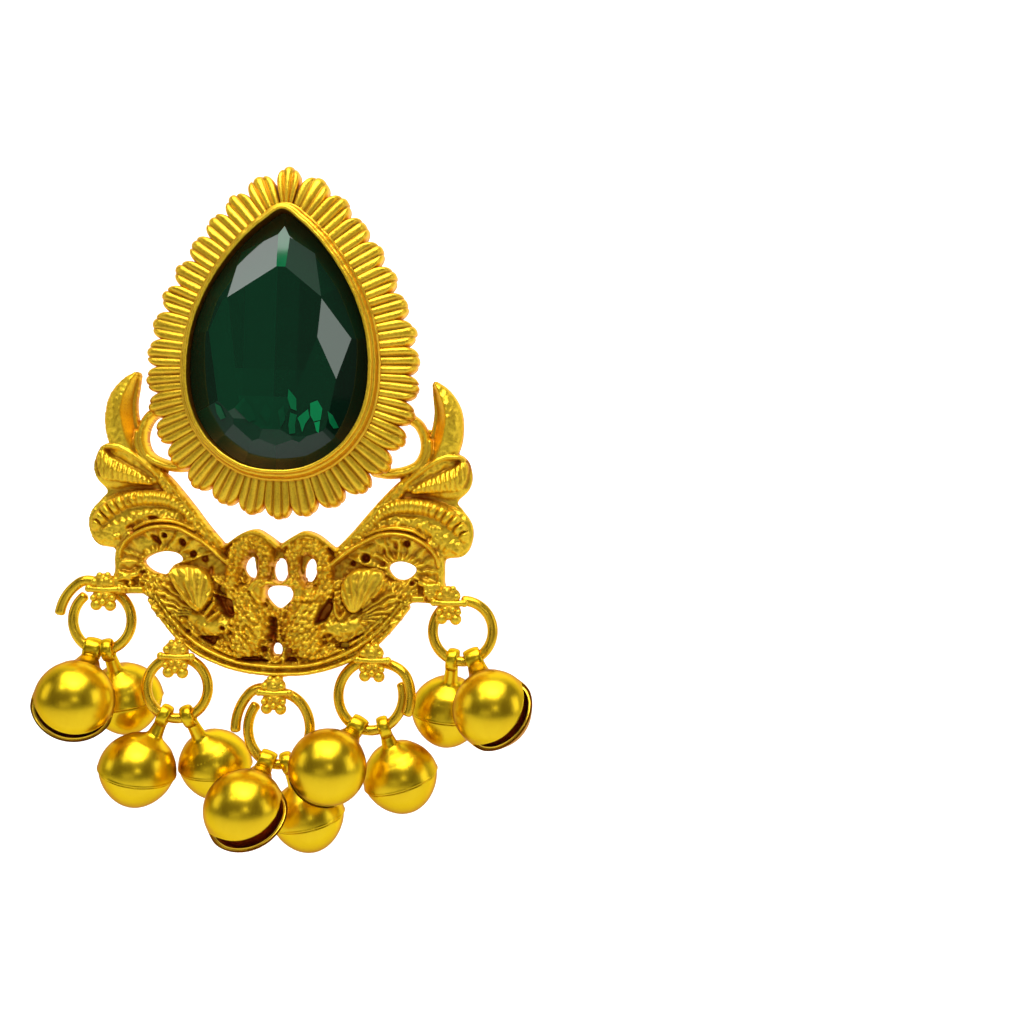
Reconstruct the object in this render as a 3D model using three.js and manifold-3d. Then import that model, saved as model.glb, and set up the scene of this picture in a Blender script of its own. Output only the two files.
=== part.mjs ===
// Drop earring: a pear stone in a ribbed petal border, a twin-peacock crest under it,
// five jump rings on lugs and ten ghungroo bells. Millimetres, +Z up, front towards -Y.
// The origin is where the ear post meets the back of the stone setting.
import * as THREE from 'three';
import { ConvexGeometry } from 'three/addons/geometries/ConvexGeometry.js';
import { mergeVertices } from 'three/addons/utils/BufferGeometryUtils.js';
import Module from 'manifold-3d';

// ---------- driving dimensions ----------
const CUP_DEPTH = 7.4;         // lip of the stone cup in front of the back plane
const CUP_FLOOR = 0.9;         // thickness of the closed seat
const LIP_WIDTH = 0.35;        // flat rim of the cup
const CUP_FOOT = 1.15;         // outer wall offset at the back, so the wall has draft
const PETAL_BACK = 2.2;        // back face of the petals in front of the back plane
const PETAL_TIP_FRONT = 3.9;
const PETAL_ROOT_FRONT = 4.9;
const PETAL_TIP_R = 1.34;
const STONE_GAP = 0.25;
const GIRDLE_Y = 4.9;          // girdle in front of the back plane
const TABLE_Y = 6.9;
const CULET_Y = 1.5;
const CREST_BASE = 1.2;        // thickness of the crest plate
const WIRE = 1.07;             // jump ring wire diameter
const PASSAGE = 0.28;          // clearance around the wire in lugs and bell eyes
const BELL_WALL = 0.45;
const SLIT_WIDTH = 0.75;
const POST_D = 0.95;
const POST_LENGTH = 11;
const POST_GAP = 0.3;
const PAD_R = 1.7;
const PAD_T = 0.45;

const wasm = await Module();
wasm.setup();

// ---------- helpers ----------
const toSolid = (geometry) => {
  const g = geometry.clone();
  g.deleteAttribute('normal');
  if (g.getAttribute('uv')) g.deleteAttribute('uv');
  const m = mergeVertices(g, 1e-5);
  return new wasm.Manifold(new wasm.Mesh({
    numProp: 3,
    vertProperties: new Float32Array(m.getAttribute('position').array),
    triVerts: new Uint32Array(m.getIndex().array),
  }));
};
const toGeometry = (solid, tolerance = 0.012) => {
  const mesh = solid.simplify(tolerance).getMesh();
  const g = new THREE.BufferGeometry();
  const pos = new Float32Array(mesh.numVert * 3);
  for (let i = 0; i < mesh.numVert; i++) {
    for (let k = 0; k < 3; k++) pos[i * 3 + k] = mesh.vertProperties[i * mesh.numProp + k];
  }
  g.setAttribute('position', new THREE.BufferAttribute(pos, 3));
  g.setIndex(new THREE.BufferAttribute(new Uint32Array(mesh.triVerts), 1));
  const flat = g.toNonIndexed();
  flat.computeVertexNormals();
  return flat;
};
const join = (list) => {
  let level = list;
  while (level.length > 1) {
    const next = [];
    for (let i = 0; i < level.length; i += 2) {
      next.push(i + 1 < level.length ? level[i].add(level[i + 1]) : level[i]);
    }
    level = next;
  }
  return level[0];
};
const circle = (x, z, r, n, front) => {
  const pts = [];
  for (let i = 0; i < n; i++) {
    const a = (i / n) * Math.PI * 2;
    pts.push(new THREE.Vector3(x + r * Math.cos(a), -front, z + r * Math.sin(a)));
  }
  return pts;
};
// a tapered stroke between two round ends; back and front are depths in front of the back plane
const stroke = (a, b, back, n = 6) => {
  const pts = [];
  for (const e of [a, b]) {
    pts.push(...circle(e.x, e.z, e.r, n, back));
    pts.push(...circle(e.x, e.z, e.r, n, back + (e.f - back) * 0.55));
    pts.push(...circle(e.x, e.z, e.r * 0.55, n, e.f));
  }
  return toSolid(new ConvexGeometry(pts));
};
const chain = (rows, back, n = 6) => {
  const out = [];
  for (let i = 0; i + 1 < rows.length; i++) out.push(stroke(rows[i], rows[i + 1], back, n));
  return out;
};
const mirrorX = (rows) => rows.map((r) => ({ ...r, x: -r.x }));
const prism = (outline, back, front) => {
  const s = new THREE.Shape(outline.map((p) => new THREE.Vector2(p.x, p.z)));
  const g = new THREE.ExtrudeGeometry(s, { depth: front - back, bevelEnabled: false });
  g.rotateX(Math.PI / 2);
  g.translate(0, -back, 0);
  return toSolid(g);
};
const ellipse = (e, n) => {
  const pts = [];
  for (let i = 0; i < n; i++) {
    const a = (i / n) * Math.PI * 2;
    const c = Math.cos(e.turn || 0), s = Math.sin(e.turn || 0);
    const u = e.rx * Math.cos(a), v = e.rz * Math.sin(a);
    pts.push({ x: e.x + u * c - v * s, z: e.z + u * s + v * c });
  }
  return pts;
};

// ---------- pear outline of the stone opening ----------
const pearHalf = [
  { z: 5.5, w: 0 }, { z: 4.37, w: 1.8 }, { z: 2.8, w: 3.5 }, { z: 0.85, w: 5.1 },
  { z: -1.3, w: 6.5 }, { z: -3.45, w: 7.55 }, { z: -5.8, w: 8.36 }, { z: -8.34, w: 8.8 },
  { z: -10.8, w: 8.87 }, { z: -13.03, w: 8.6 }, { z: -15.2, w: 7.85 }, { z: -17.3, w: 6.45 },
  { z: -18.9, w: 4.5 }, { z: -19.8, w: 2.4 }, { z: -20.05, w: 0 },
];
const pearCurve = new THREE.CatmullRomCurve3([
  ...pearHalf.map((p) => new THREE.Vector3(p.w, 0, p.z)),
  ...pearHalf.slice(1, -1).reverse().map((p) => new THREE.Vector3(-p.w, 0, p.z)),
], true, 'centripetal');
const PEAR_N = 40;
const pearPoints = (offset, n = PEAR_N) => {
  const out = [];
  for (let i = 0; i < n; i++) {
    const p = pearCurve.getPointAt(i / n);
    const t = pearCurve.getTangentAt(i / n);
    if (i === 0) t.set(1, 0, 0);
    out.push({ x: p.x - t.z * offset, z: p.z + t.x * offset });
  }
  return out;
};
const at = (p, front) => new THREE.Vector3(p.x, -front, p.z);

const cupOuter = toSolid(new ConvexGeometry([
  ...pearPoints(CUP_FOOT).map((p) => at(p, 0)),
  ...pearPoints(CUP_FOOT).map((p) => at(p, PETAL_ROOT_FRONT)),
  ...pearPoints(LIP_WIDTH).map((p) => at(p, CUP_DEPTH)),
]));
const cupHollow = toSolid(new ConvexGeometry([
  ...pearPoints(0).map((p) => at(p, CUP_FLOOR)),
  ...pearPoints(0).map((p) => at(p, CUP_DEPTH + 1)),
]));

// ---------- petals ----------
const petalTips = [
  { x: 0, z: 10.5 }, { x: 3.4, z: 9.3 }, { x: 5.9, z: 7.2 }, { x: 7.85, z: 5.0 },
  { x: 9.6, z: 2.6 }, { x: 11.05, z: 0.0 }, { x: 12.3, z: -2.75 }, { x: 13.25, z: -5.6 },
  { x: 13.75, z: -8.6 }, { x: 13.75, z: -11.5 }, { x: 13.35, z: -14.2 }, { x: 12.5, z: -16.9 },
  { x: 10.95, z: -19.6 }, { x: 8.6, z: -22.05 }, { x: 5.8, z: -23.6 }, { x: 2.85, z: -24.6 },
  { x: 0, z: -25.0 },
];
const rootCurve = pearPoints(CUP_FOOT - 0.5, 240);
const nearestRoot = (tip) => rootCurve.reduce((best, p) => {
  const d = Math.hypot(p.x - tip.x, p.z - tip.z);
  return d < best.d ? { ...p, d } : best;
}, { d: 1e9 });
const petal = (tip) => {
  const root = nearestRoot(tip);
  const dx = (tip.x - root.x) / root.d, dz = (tip.z - root.z) / root.d;
  const c = { x: tip.x - dx * PETAL_TIP_R, z: tip.z - dz * PETAL_TIP_R };
  const pts = [];
  const turn = Math.atan2(dz, dx);
  for (let i = 0; i <= 5; i++) {
    const a = turn + (i / 5 - 0.5) * Math.PI;
    for (const e of [{ r: PETAL_TIP_R, f: PETAL_BACK }, { r: PETAL_TIP_R, f: PETAL_TIP_FRONT - 0.5 },
      { r: PETAL_TIP_R * 0.6, f: PETAL_TIP_FRONT }]) {
      pts.push(new THREE.Vector3(c.x + e.r * Math.cos(a), -e.f, c.z + e.r * Math.sin(a)));
    }
  }
  for (const s of [-1, 1]) {
    const w = 1.02 * s;
    pts.push(new THREE.Vector3(root.x - dz * w, -PETAL_BACK, root.z + dx * w));
    pts.push(new THREE.Vector3(root.x - dz * w, -(PETAL_ROOT_FRONT - 0.4), root.z + dx * w));
    pts.push(new THREE.Vector3(root.x - dz * w * 0.6, -PETAL_ROOT_FRONT, root.z + dx * w * 0.6));
  }
  return toSolid(new ConvexGeometry(pts));
};
const petals = [...petalTips, ...mirrorX(petalTips.slice(1, -1))].map(petal);

// ---------- crest, right half; x, z, r of the round ends and f, the height in front ----------
const horn = [
  { x: 15.25, z: -10.85, r: 0.45, f: 1.9 }, { x: 16.05, z: -12.0, r: 1.0, f: 2.2 },
  { x: 16.6, z: -13.5, r: 1.4, f: 2.4 }, { x: 16.65, z: -15.1, r: 1.65, f: 2.4 },
  { x: 16.35, z: -16.9, r: 1.75, f: 2.2 }, { x: 15.7, z: -18.8, r: 1.5, f: 1.9 },
  { x: 14.2, z: -20.3, r: 0.9, f: 1.8 },
];
const curl = [
  { x: 12.0, z: -14.3, r: 0.5, f: 2.6 }, { x: 13.7, z: -15.1, r: 0.5, f: 2.1 },
  { x: 14.4, z: -16.5, r: 0.5, f: 1.9 }, { x: 14.35, z: -18.0, r: 0.5, f: 1.9 },
  { x: 13.5, z: -19.25, r: 0.5, f: 1.9 }, { x: 12.2, z: -19.65, r: 0.5, f: 1.9 },
  { x: 10.6, z: -19.8, r: 0.6, f: 2.3 }, { x: 9.4, z: -19.6, r: 0.6, f: 2.6 },
];
const leaf = [
  { x: 12.7, z: -21.1, r: 0.6, f: 1.7 }, { x: 15.0, z: -20.4, r: 1.6, f: 2.2 },
  { x: 17.1, z: -20.0, r: 2.25, f: 2.4 },
];
const plume = [
  { x: 10.6, z: -23.6, r: 0.8, f: 1.7 }, { x: 13.0, z: -24.4, r: 2.0, f: 2.3 },
  { x: 15.2, z: -24.9, r: 2.3, f: 2.5 }, { x: 17.05, z: -25.65, r: 2.65, f: 2.6 },
];
const stem = [
  { x: 12.3, z: -20.9, r: 0.7, f: 1.8 }, { x: 9.6, z: -24.3, r: 0.75, f: 1.9 },
  { x: 6.2, z: -28.3, r: 0.75, f: 2.0 }, { x: 4.6, z: -30.2, r: 0.7, f: 2.2 },
];
const scroll = [
  { x: 16.25, z: -30.6, r: 0.6, f: 2.2 }, { x: 16.25, z: -28.9, r: 0.6, f: 2.3 },
  { x: 15.3, z: -27.2, r: 0.6, f: 2.4 }, { x: 13.6, z: -26.2, r: 0.6, f: 2.4 },
  { x: 11.6, z: -25.9, r: 0.6, f: 2.4 }, { x: 9.6, z: -26.4, r: 0.6, f: 2.4 },
  { x: 7.6, z: -27.9, r: 0.6, f: 2.3 }, { x: 5.8, z: -29.3, r: 0.5, f: 2.2 },
];
const neck = [
  { x: 4.75, z: -32.5, r: 0.75, f: 2.3 }, { x: 4.6, z: -30.0, r: 0.85, f: 2.4 },
  { x: 4.1, z: -28.3, r: 1.0, f: 2.5 }, { x: 2.65, z: -27.2, r: 1.15, f: 2.6 },
  { x: 1.35, z: -28.4, r: 0.85, f: 2.5 }, { x: 1.55, z: -30.1, r: 0.75, f: 2.4 },
  { x: 1.75, z: -31.7, r: 0.7, f: 2.6 },
];
const breast = [
  { x: 3.3, z: -33.0, r: 1.6, f: 2.5 }, { x: 3.0, z: -35.6, r: 1.9, f: 2.8 },
  { x: 3.6, z: -37.2, r: 1.5, f: 2.5 },
];
const fan = [
  { x: 9.1, z: -30.9, r: 1.25, f: 2.7 }, { x: 7.9, z: -31.4, r: 1.1, f: 2.7 },
  { x: 7.5, z: -33.6, r: 0.55, f: 2.4 },
];
const fanEdge = [
  { x: 10.2, z: -30.7, r: 0.45, f: 2.9 }, { x: 8.6, z: -33.9, r: 0.4, f: 2.6 },
];
const flank = [
  { x: 11.6, z: -32.6, r: 1.1, f: 2.0 }, { x: 9.4, z: -34.6, r: 1.3, f: 2.1 },
  { x: 6.6, z: -36.0, r: 1.1, f: 2.2 },
];
const RIM_R = 16.1, RIM_Z = -24.4;   // arc of the lower rim
const rim = [];
for (let i = 0; i <= 8; i++) {
  const a = (-90 + i * 7.1) * Math.PI / 180;
  rim.push({ x: RIM_R * Math.cos(a), z: RIM_Z + RIM_R * Math.sin(a), r: 0.55, f: 2.2 });
}
const bridge = [{ x: 13.4, z: -32.5, r: 0.7, f: 2.1 }, { x: 15.2, z: -32.3, r: 0.75, f: 2.1 }];

// plate behind the crest reliefs, right half
const plateOutline = [
  { x: 0, z: -27.6 }, { x: 1.3, z: -26.7 }, { x: 2.6, z: -26.2 }, { x: 4.0, z: -26.6 }, { x: 5.8, z: -27.9 },
  { x: 6.4, z: -27.9 }, { x: 9.0, z: -24.8 }, { x: 11.9, z: -21.2 }, { x: 14.6, z: -18.9 },
  { x: 17.4, z: -17.9 }, { x: 18.9, z: -20.0 }, { x: 18.0, z: -22.7 }, { x: 18.9, z: -25.4 },
  { x: 16.9, z: -28.0 }, { x: 16.7, z: -30.0 }, { x: 16.0, z: -32.6 }, { x: 13.4, z: -33.1 },
  { x: 12.0, z: -34.9 }, { x: 10.0, z: -37.1 }, { x: 7.7, z: -38.7 }, { x: 4.0, z: -40.1 }, { x: 0, z: -40.7 },
];
const crestHoles = [
  { x: 3.05, z: -30.0, rx: 0.62, rz: 1.15, both: true },
  { x: 12.1, z: -29.7, rx: 1.6, rz: 1.05, both: true },
  { x: 0.05, z: -30.15, rx: 0.7, rz: 1.25, both: false },
  { x: 0.0, z: -38.25, rx: 0.5, rz: 0.66, both: false },
  { x: -5.85, z: -32.4, rx: 0.6, rz: 0.26, turn: -0.8, both: false },
  { x: 6.8, z: -37.55, rx: 0.5, rz: 0.27, turn: 0.15, both: false },
];
const heart = [
  { x: 0, z: -34.05 }, { x: 0.75, z: -33.6 }, { x: 1.4, z: -32.7 }, { x: 1.3, z: -32.1 }, { x: 0.7, z: -31.8 },
  { x: 0, z: -31.72 }, { x: -0.7, z: -31.8 }, { x: -1.3, z: -32.1 }, { x: -1.4, z: -32.7 }, { x: -0.75, z: -33.6 },
];
const pockets = [   // blind recesses between the bodies and the rim
  { x: 4.7, z: -34.0, rx: 0.45, rz: 1.3, turn: -0.35, both: true },
  { x: 1.9, z: -39.15, rx: 1.3, rz: 0.28, both: true },
  { x: -6.8, z: -37.4, rx: 0.9, rz: 0.4, turn: -0.2, both: false },
];

const crestRows = [
  { rows: horn, back: 0 }, { rows: curl, back: 0.3 }, { rows: leaf, back: 0 }, { rows: plume, back: 0 },
  { rows: stem, back: 0 }, { rows: scroll, back: 0 }, { rows: neck, back: 0.2 }, { rows: breast, back: 0.2 },
  { rows: fan, back: 0.2 }, { rows: fanEdge, back: 0.2 }, { rows: flank, back: 0.2 }, { rows: rim, back: 0 },
  { rows: bridge, back: 0 },
];
const crestParts = [];
for (const side of [1, -1]) {
  for (const c of crestRows) crestParts.push(...chain(side > 0 ? c.rows : mirrorX(c.rows), c.back));
  crestParts.push(prism(side > 0 ? plateOutline : mirrorX(plateOutline).reverse(), 0, CREST_BASE));
}
const cutters = [prism(heart, -1, 4)];
for (const h of crestHoles) {
  cutters.push(prism(ellipse(h, 10), -1, 4));
  if (h.both) cutters.push(prism(ellipse({ ...h, x: -h.x, turn: -(h.turn || 0) }, 10), -1, 4));
}
for (const h of pockets) {
  cutters.push(prism(ellipse(h, 8), 0.6, 4));
  if (h.both) cutters.push(prism(ellipse({ ...h, x: -h.x, turn: -(h.turn || 0) }, 8), 0.6, 4));
}

// ---------- jump rings: centre, half sizes of the wire's centre line, and how the ends lie ----------
// from = angle of the outer end, way = turning sense, over = overlap past a full turn, rise = outer offset
const rings = [
  { name: 'jump_ring_1', x: -17.95, z: -35.85, y: -1.0, rx: 2.98, rz: 3.1, from: 172, way: -1, over: 42, rise: 1.4 },
  { name: 'jump_ring_2', x: -9.95, z: -42.4, y: -1.6, rx: 3.12, rz: 3.12, from: 78, way: -1, over: -14, rise: 0 },
  { name: 'jump_ring_3', x: 0.45, z: -46.3, y: -1.1, rx: 3.15, rz: 3.65, from: 183, way: -1, over: 42, rise: 1.28 },
  { name: 'jump_ring_4', x: 9.72, z: -42.6, y: -1.3, rx: 3.3, rz: 3.55, from: -22, way: 1, over: 42, rise: 1.35 },
  { name: 'jump_ring_5', x: 18.85, z: -35.75, y: -1.0, rx: 3.05, rz: 3.1, from: 104, way: 1, over: -14, rise: 0 },
];
const FLAT = 48, FADE = 52;   // degrees where the outer end keeps its offset, then loses it
class RingPath extends THREE.Curve {
  constructor(row) { super(); this.row = row; }
  getPoint(t, target = new THREE.Vector3()) {
    const r = this.row;
    const gone = t * (360 + r.over);
    const s = THREE.MathUtils.smoothstep(gone, FLAT, FLAT + FADE);
    const a = THREE.MathUtils.degToRad(r.from + r.way * gone);
    const out = r.rise * (1 - s);
    return target.set(r.x + (r.rx + out) * Math.cos(a), r.y, r.z + (r.rz + out) * Math.sin(a));
  }
}
const tube = (row, radius, sides, steps) => {
  const s = new THREE.Shape();
  for (let i = 0; i < sides; i++) {
    const a = (i / sides) * Math.PI * 2;
    if (i === 0) s.moveTo(radius * Math.cos(a), radius * Math.sin(a));
    else s.lineTo(radius * Math.cos(a), radius * Math.sin(a));
  }
  s.closePath();
  return new THREE.ExtrudeGeometry(s, { steps, extrudePath: new RingPath(row), bevelEnabled: false });
};
const passages = rings.map((r) => toSolid(tube(
  { ...r, from: 0, way: 1, over: -0.01, rise: 0 }, WIRE / 2 + PASSAGE, 8, 30)));
const outerPassages = rings.filter((r) => r.rise > 0).map((r) => toSolid(tube(r, WIRE / 2 + PASSAGE, 8, 40)));

// ---------- lugs: a block that the ring passes through, with granules in front and below ----------
const lugs = [
  { ring: 0, x: -17.6, top: -31.9, low: -34.3, half: 1.35, toX: -16.0, toZ: -32.3 },
  { ring: 1, x: -9.95, top: -38.9, low: -41.2, half: 1.3, toX: -9.7, toZ: -37.6 },
  { ring: 2, x: 0.0, top: -42.4, low: -44.2, half: 1.5, toX: 0.05, toZ: -40.9 },
  { ring: 3, x: 9.85, top: -38.9, low: -41.2, half: 1.3, toX: 9.6, toZ: -37.6 },
  { ring: 4, x: 17.4, top: -31.9, low: -34.3, half: 1.35, toX: 16.0, toZ: -32.3 },
];
const granules = [
  { dx: -0.78, dz: -0.05, r: 0.68 }, { dx: 0.78, dz: -0.05, r: 0.68 },
  { dx: -1.2, dz: 1.35, r: 0.55 }, { dx: 0, dz: 1.35, r: 0.6 }, { dx: 1.2, dz: 1.35, r: 0.55 },
];
const lugParts = [];
for (const l of lugs) {
  const y = -rings[l.ring].y;
  lugParts.push(stroke({ x: l.toX, z: l.toZ, r: 0.95, f: 2.1 }, { x: l.x, z: l.top, r: 1.1, f: y + 1.4 }, 0.0));
  lugParts.push(stroke({ x: l.x - l.half + 0.5, z: l.top, r: 0.75, f: y + 1.45 },
    { x: l.x - l.half + 0.7, z: l.low + 0.4, r: 0.75, f: y + 1.45 }, y - 1.3));
  lugParts.push(stroke({ x: l.x + l.half - 0.5, z: l.top, r: 0.75, f: y + 1.45 },
    { x: l.x + l.half - 0.7, z: l.low + 0.4, r: 0.75, f: y + 1.45 }, y - 1.3));
  lugParts.push(stroke({ x: l.x, z: l.top, r: 0.9, f: y + 1.45 }, { x: l.x, z: l.low + 0.4, r: 0.9, f: y + 1.45 }, y - 1.3));
  for (const g of granules) {
    const b = new THREE.IcosahedronGeometry(g.r * 1.08, 0);
    b.translate(l.x + g.dx, -(y + 0.95), l.low + g.dz);
    lugParts.push(toSolid(b));
  }
}

const crest = join([...crestParts, ...lugParts]).subtract(join([...cutters, ...passages, ...outerPassages]));
const frameSolid = join([crest, join(petals), cupOuter]).subtract(cupHollow);

// ---------- stone ----------
const crown = [   // right half: table corners T, star corners S, upper corners G
  { x: 0, z: -0.5, f: TABLE_Y }, { x: 4.35, z: -7.3, f: TABLE_Y }, { x: 4.1, z: -12.9, f: TABLE_Y },
  { x: 1.7, z: -15.7, f: TABLE_Y },
  { x: 4.45, z: -3.4, f: 6.35 }, { x: 6.0, z: -10.6, f: 6.3 }, { x: 3.7, z: -15.9, f: 6.2 }, { x: 0, z: -17.0, f: 6.3 },
];
const girdle = pearPoints(-STONE_GAP - 0.1, 32);
const stoneGeometry = new ConvexGeometry([
  ...crown.map((p) => at(p, p.f)), ...mirrorX(crown).map((p) => at(p, p.f)),
  ...girdle.map((p) => at(p, GIRDLE_Y)), ...girdle.map((p) => at(p, GIRDLE_Y - 0.35)),
  new THREE.Vector3(0, -CULET_Y, -4.5), new THREE.Vector3(0, -CULET_Y, -10.5),
]);

// ---------- bells: body centre, body radius, ring and place of the eye on it, turn of the slit ----------
const bells = [
  { name: 'bell_1_front', ring: 0, deg: -107, x: -19.6, y: -4.3, z: -43.7, r: 3.98, slit: -6 },
  { name: 'bell_1_back', ring: 0, deg: -77, x: -16.2, y: 2.6, z: -44.4, r: 3.9, slit: 20 },
  { name: 'bell_2_left', ring: 1, deg: -113, x: -13.8, y: -1.5, z: -51.1, r: 3.95, slit: 12 },
  { name: 'bell_2_right', ring: 1, deg: -67, x: -6.4, y: 1.5, z: -50.75, r: 3.8, slit: -15 },
  { name: 'bell_3_front', ring: 2, deg: -112, x: -2.15, y: -5.1, z: -53.9, r: 4.03, slit: 12 },
  { name: 'bell_3_back', ring: 2, deg: -72, x: 3.45, y: 1.2, z: -55.8, r: 3.85, slit: -10 },
  { name: 'bell_4_front', ring: 3, deg: -114, x: 6.0, y: -5.25, z: -49.4, r: 3.88, slit: -10 },
  { name: 'bell_4_back', ring: 3, deg: -64, x: 12.95, y: 0.7, z: -51.3, r: 3.92, slit: 8 },
  { name: 'bell_5_front', ring: 4, deg: -66, x: 22.15, y: -5.05, z: -43.1, r: 3.95, slit: 24 },
  { name: 'bell_5_back', ring: 4, deg: -108, x: 17.45, y: 2.4, z: -44.6, r: 3.9, slit: -12 },
];
const EYE_HOLE = WIRE / 2 + PASSAGE;
const EYE_WALL = 0.42;
const EYE_THICK = 1.15;
const bellSolid = (row, length) => {
  const n = 14;
  const outer = [new THREE.Vector2(0, -row.r)];
  for (let i = 1; i <= 7; i++) {
    const a = -90 + i * 21.5;
    outer.push(new THREE.Vector2(row.r * Math.cos(THREE.MathUtils.degToRad(a)), row.r * Math.sin(THREE.MathUtils.degToRad(a))));
  }
  outer.push(new THREE.Vector2(1.15, row.r + 0.35));
  outer.push(new THREE.Vector2(0.8, length - EYE_HOLE));
  outer.push(new THREE.Vector2(0.6, length));
  outer.push(new THREE.Vector2(0, length));
  const body = new THREE.LatheGeometry(outer, n);
  body.rotateX(Math.PI / 2);
  const inner = new THREE.SphereGeometry(row.r - BELL_WALL, 12, 7);
  inner.rotateX(Math.PI / 2);
  const eye = new THREE.CylinderGeometry(EYE_HOLE + EYE_WALL, EYE_HOLE + EYE_WALL, EYE_THICK, 12);
  eye.rotateZ(Math.PI / 2);
  eye.translate(0, 0, length);
  const hole = new THREE.CylinderGeometry(EYE_HOLE, EYE_HOLE, 4, 10);
  hole.rotateZ(Math.PI / 2);
  hole.translate(0, 0, length);
  const slit = new THREE.BoxGeometry(row.r * 3, SLIT_WIDTH, row.r * 1.3);
  slit.translate(0, 0, -row.r * 0.65 - 0.25);
  slit.rotateZ(THREE.MathUtils.degToRad(row.slit));
  return toSolid(body).add(toSolid(eye)).subtract(toSolid(hole)).subtract(toSolid(inner)).subtract(toSolid(slit));
};

// ---------- materials and nodes ----------
const castGold = new THREE.MeshStandardMaterial({ color: 0xd9a514, roughness: 0.42, metalness: 1 });
const ringGold = new THREE.MeshStandardMaterial({ color: 0xd8ae2a, roughness: 0.25, metalness: 1 });
const bellGold = new THREE.MeshStandardMaterial({ color: 0xe0b818, roughness: 0.3, metalness: 1 });
const greenGlass = new THREE.MeshStandardMaterial({ color: 0x03301c, roughness: 0.06, metalness: 0 });

const group = new THREE.Group();
const addMesh = (name, geometry, material) => {
  const m = new THREE.Mesh(geometry, material.clone());
  m.name = name;
  group.add(m);
  return m;
};
addMesh('cast_frame', toGeometry(frameSolid, 0.07), castGold);
addMesh('pear_stone', stoneGeometry, greenGlass);

const postGeometry = (() => {
  const post = new THREE.CylinderGeometry(POST_D / 2, POST_D / 2, POST_LENGTH, 16);
  post.translate(0, POST_LENGTH / 2, 0);
  const pad = new THREE.CylinderGeometry(PAD_R, PAD_R, PAD_T, 24);
  pad.translate(0, PAD_T / 2, 0);
  return toGeometry(toSolid(post).add(toSolid(pad)));
})();
addMesh('ear_post', postGeometry, castGold).position.set(0, POST_GAP, 0);

for (const r of rings) addMesh(r.name, tube(r, WIRE / 2, 8, 32), ringGold);

for (const b of bells) {
  const r = rings[b.ring];
  const a = THREE.MathUtils.degToRad(b.deg);
  const eye = new THREE.Vector3(r.x + r.rx * Math.cos(a), r.y, r.z + r.rz * Math.sin(a));
  const tangent = new THREE.Vector3(-r.rx * Math.sin(a), 0, r.rz * Math.cos(a)).normalize();
  const centre = new THREE.Vector3(b.x, b.y, b.z);
  const up = eye.clone().sub(centre);
  const length = up.length();
  up.normalize();
  const side = tangent.clone().addScaledVector(up, -tangent.dot(up)).normalize();
  const depth = new THREE.Vector3().crossVectors(up, side);
  const m = addMesh(b.name, toGeometry(bellSolid(b, length)), bellGold);
  m.position.copy(centre);
  m.setRotationFromMatrix(new THREE.Matrix4().makeBasis(side, depth, up));
}

export default group;
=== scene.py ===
import math

import bmesh
import bpy
import numpy as np
from mathutils import Matrix, Vector


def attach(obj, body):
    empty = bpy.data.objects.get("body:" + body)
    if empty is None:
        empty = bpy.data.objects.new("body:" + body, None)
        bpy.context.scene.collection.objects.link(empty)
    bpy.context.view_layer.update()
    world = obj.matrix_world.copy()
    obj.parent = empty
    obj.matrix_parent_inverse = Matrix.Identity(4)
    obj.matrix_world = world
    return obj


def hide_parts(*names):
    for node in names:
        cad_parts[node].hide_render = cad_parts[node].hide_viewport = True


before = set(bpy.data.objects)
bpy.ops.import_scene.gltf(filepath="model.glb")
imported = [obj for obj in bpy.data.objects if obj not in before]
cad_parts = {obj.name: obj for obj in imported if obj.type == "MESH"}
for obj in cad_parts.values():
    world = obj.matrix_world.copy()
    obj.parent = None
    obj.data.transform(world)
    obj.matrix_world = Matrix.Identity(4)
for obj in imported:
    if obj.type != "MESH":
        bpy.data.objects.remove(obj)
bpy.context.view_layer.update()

MM = 0.001
RNG = np.random.default_rng(7)

# ---------------------------------------------------------------- meshes


def mesh_object(name, verts, faces, material, attrs=None, smooth=True):
    """verts in mm (N,3); faces a list of arrays, each (M,3) or (M,4), or of lists."""
    me = bpy.data.meshes.new(name)
    verts = np.asarray(verts, float) * MM
    starts, totals, loops = [], [], []
    n = 0
    for block in faces:
        if isinstance(block, np.ndarray):
            m, k = block.shape
            starts.append(n + np.arange(m) * k)
            totals.append(np.full(m, k))
            loops.append(block.reshape(-1))
            n += m * k
        else:
            starts.append(np.array([n]))
            totals.append(np.array([len(block)]))
            loops.append(np.array(block))
            n += len(block)
    starts, totals, loops = map(np.concatenate, (starts, totals, loops))
    me.vertices.add(len(verts))
    me.vertices.foreach_set("co", verts.astype(np.float32).reshape(-1))
    me.loops.add(len(loops))
    me.loops.foreach_set("vertex_index", loops.astype(np.int32))
    me.polygons.add(len(starts))
    me.polygons.foreach_set("loop_start", starts.astype(np.int32))
    me.polygons.foreach_set("loop_total", totals.astype(np.int32))
    me.update(calc_edges=True)
    me.polygons.foreach_set("use_smooth", np.full(len(starts), smooth))
    for key, value in (attrs or {}).items():
        a = me.attributes.new(key, "FLOAT", "POINT")
        a.data.foreach_set("value", np.asarray(value, np.float32))
    me.materials.append(material)
    me.validate()
    o = bpy.data.objects.new(name, me)
    bpy.context.scene.collection.objects.link(o)
    return o


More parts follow.
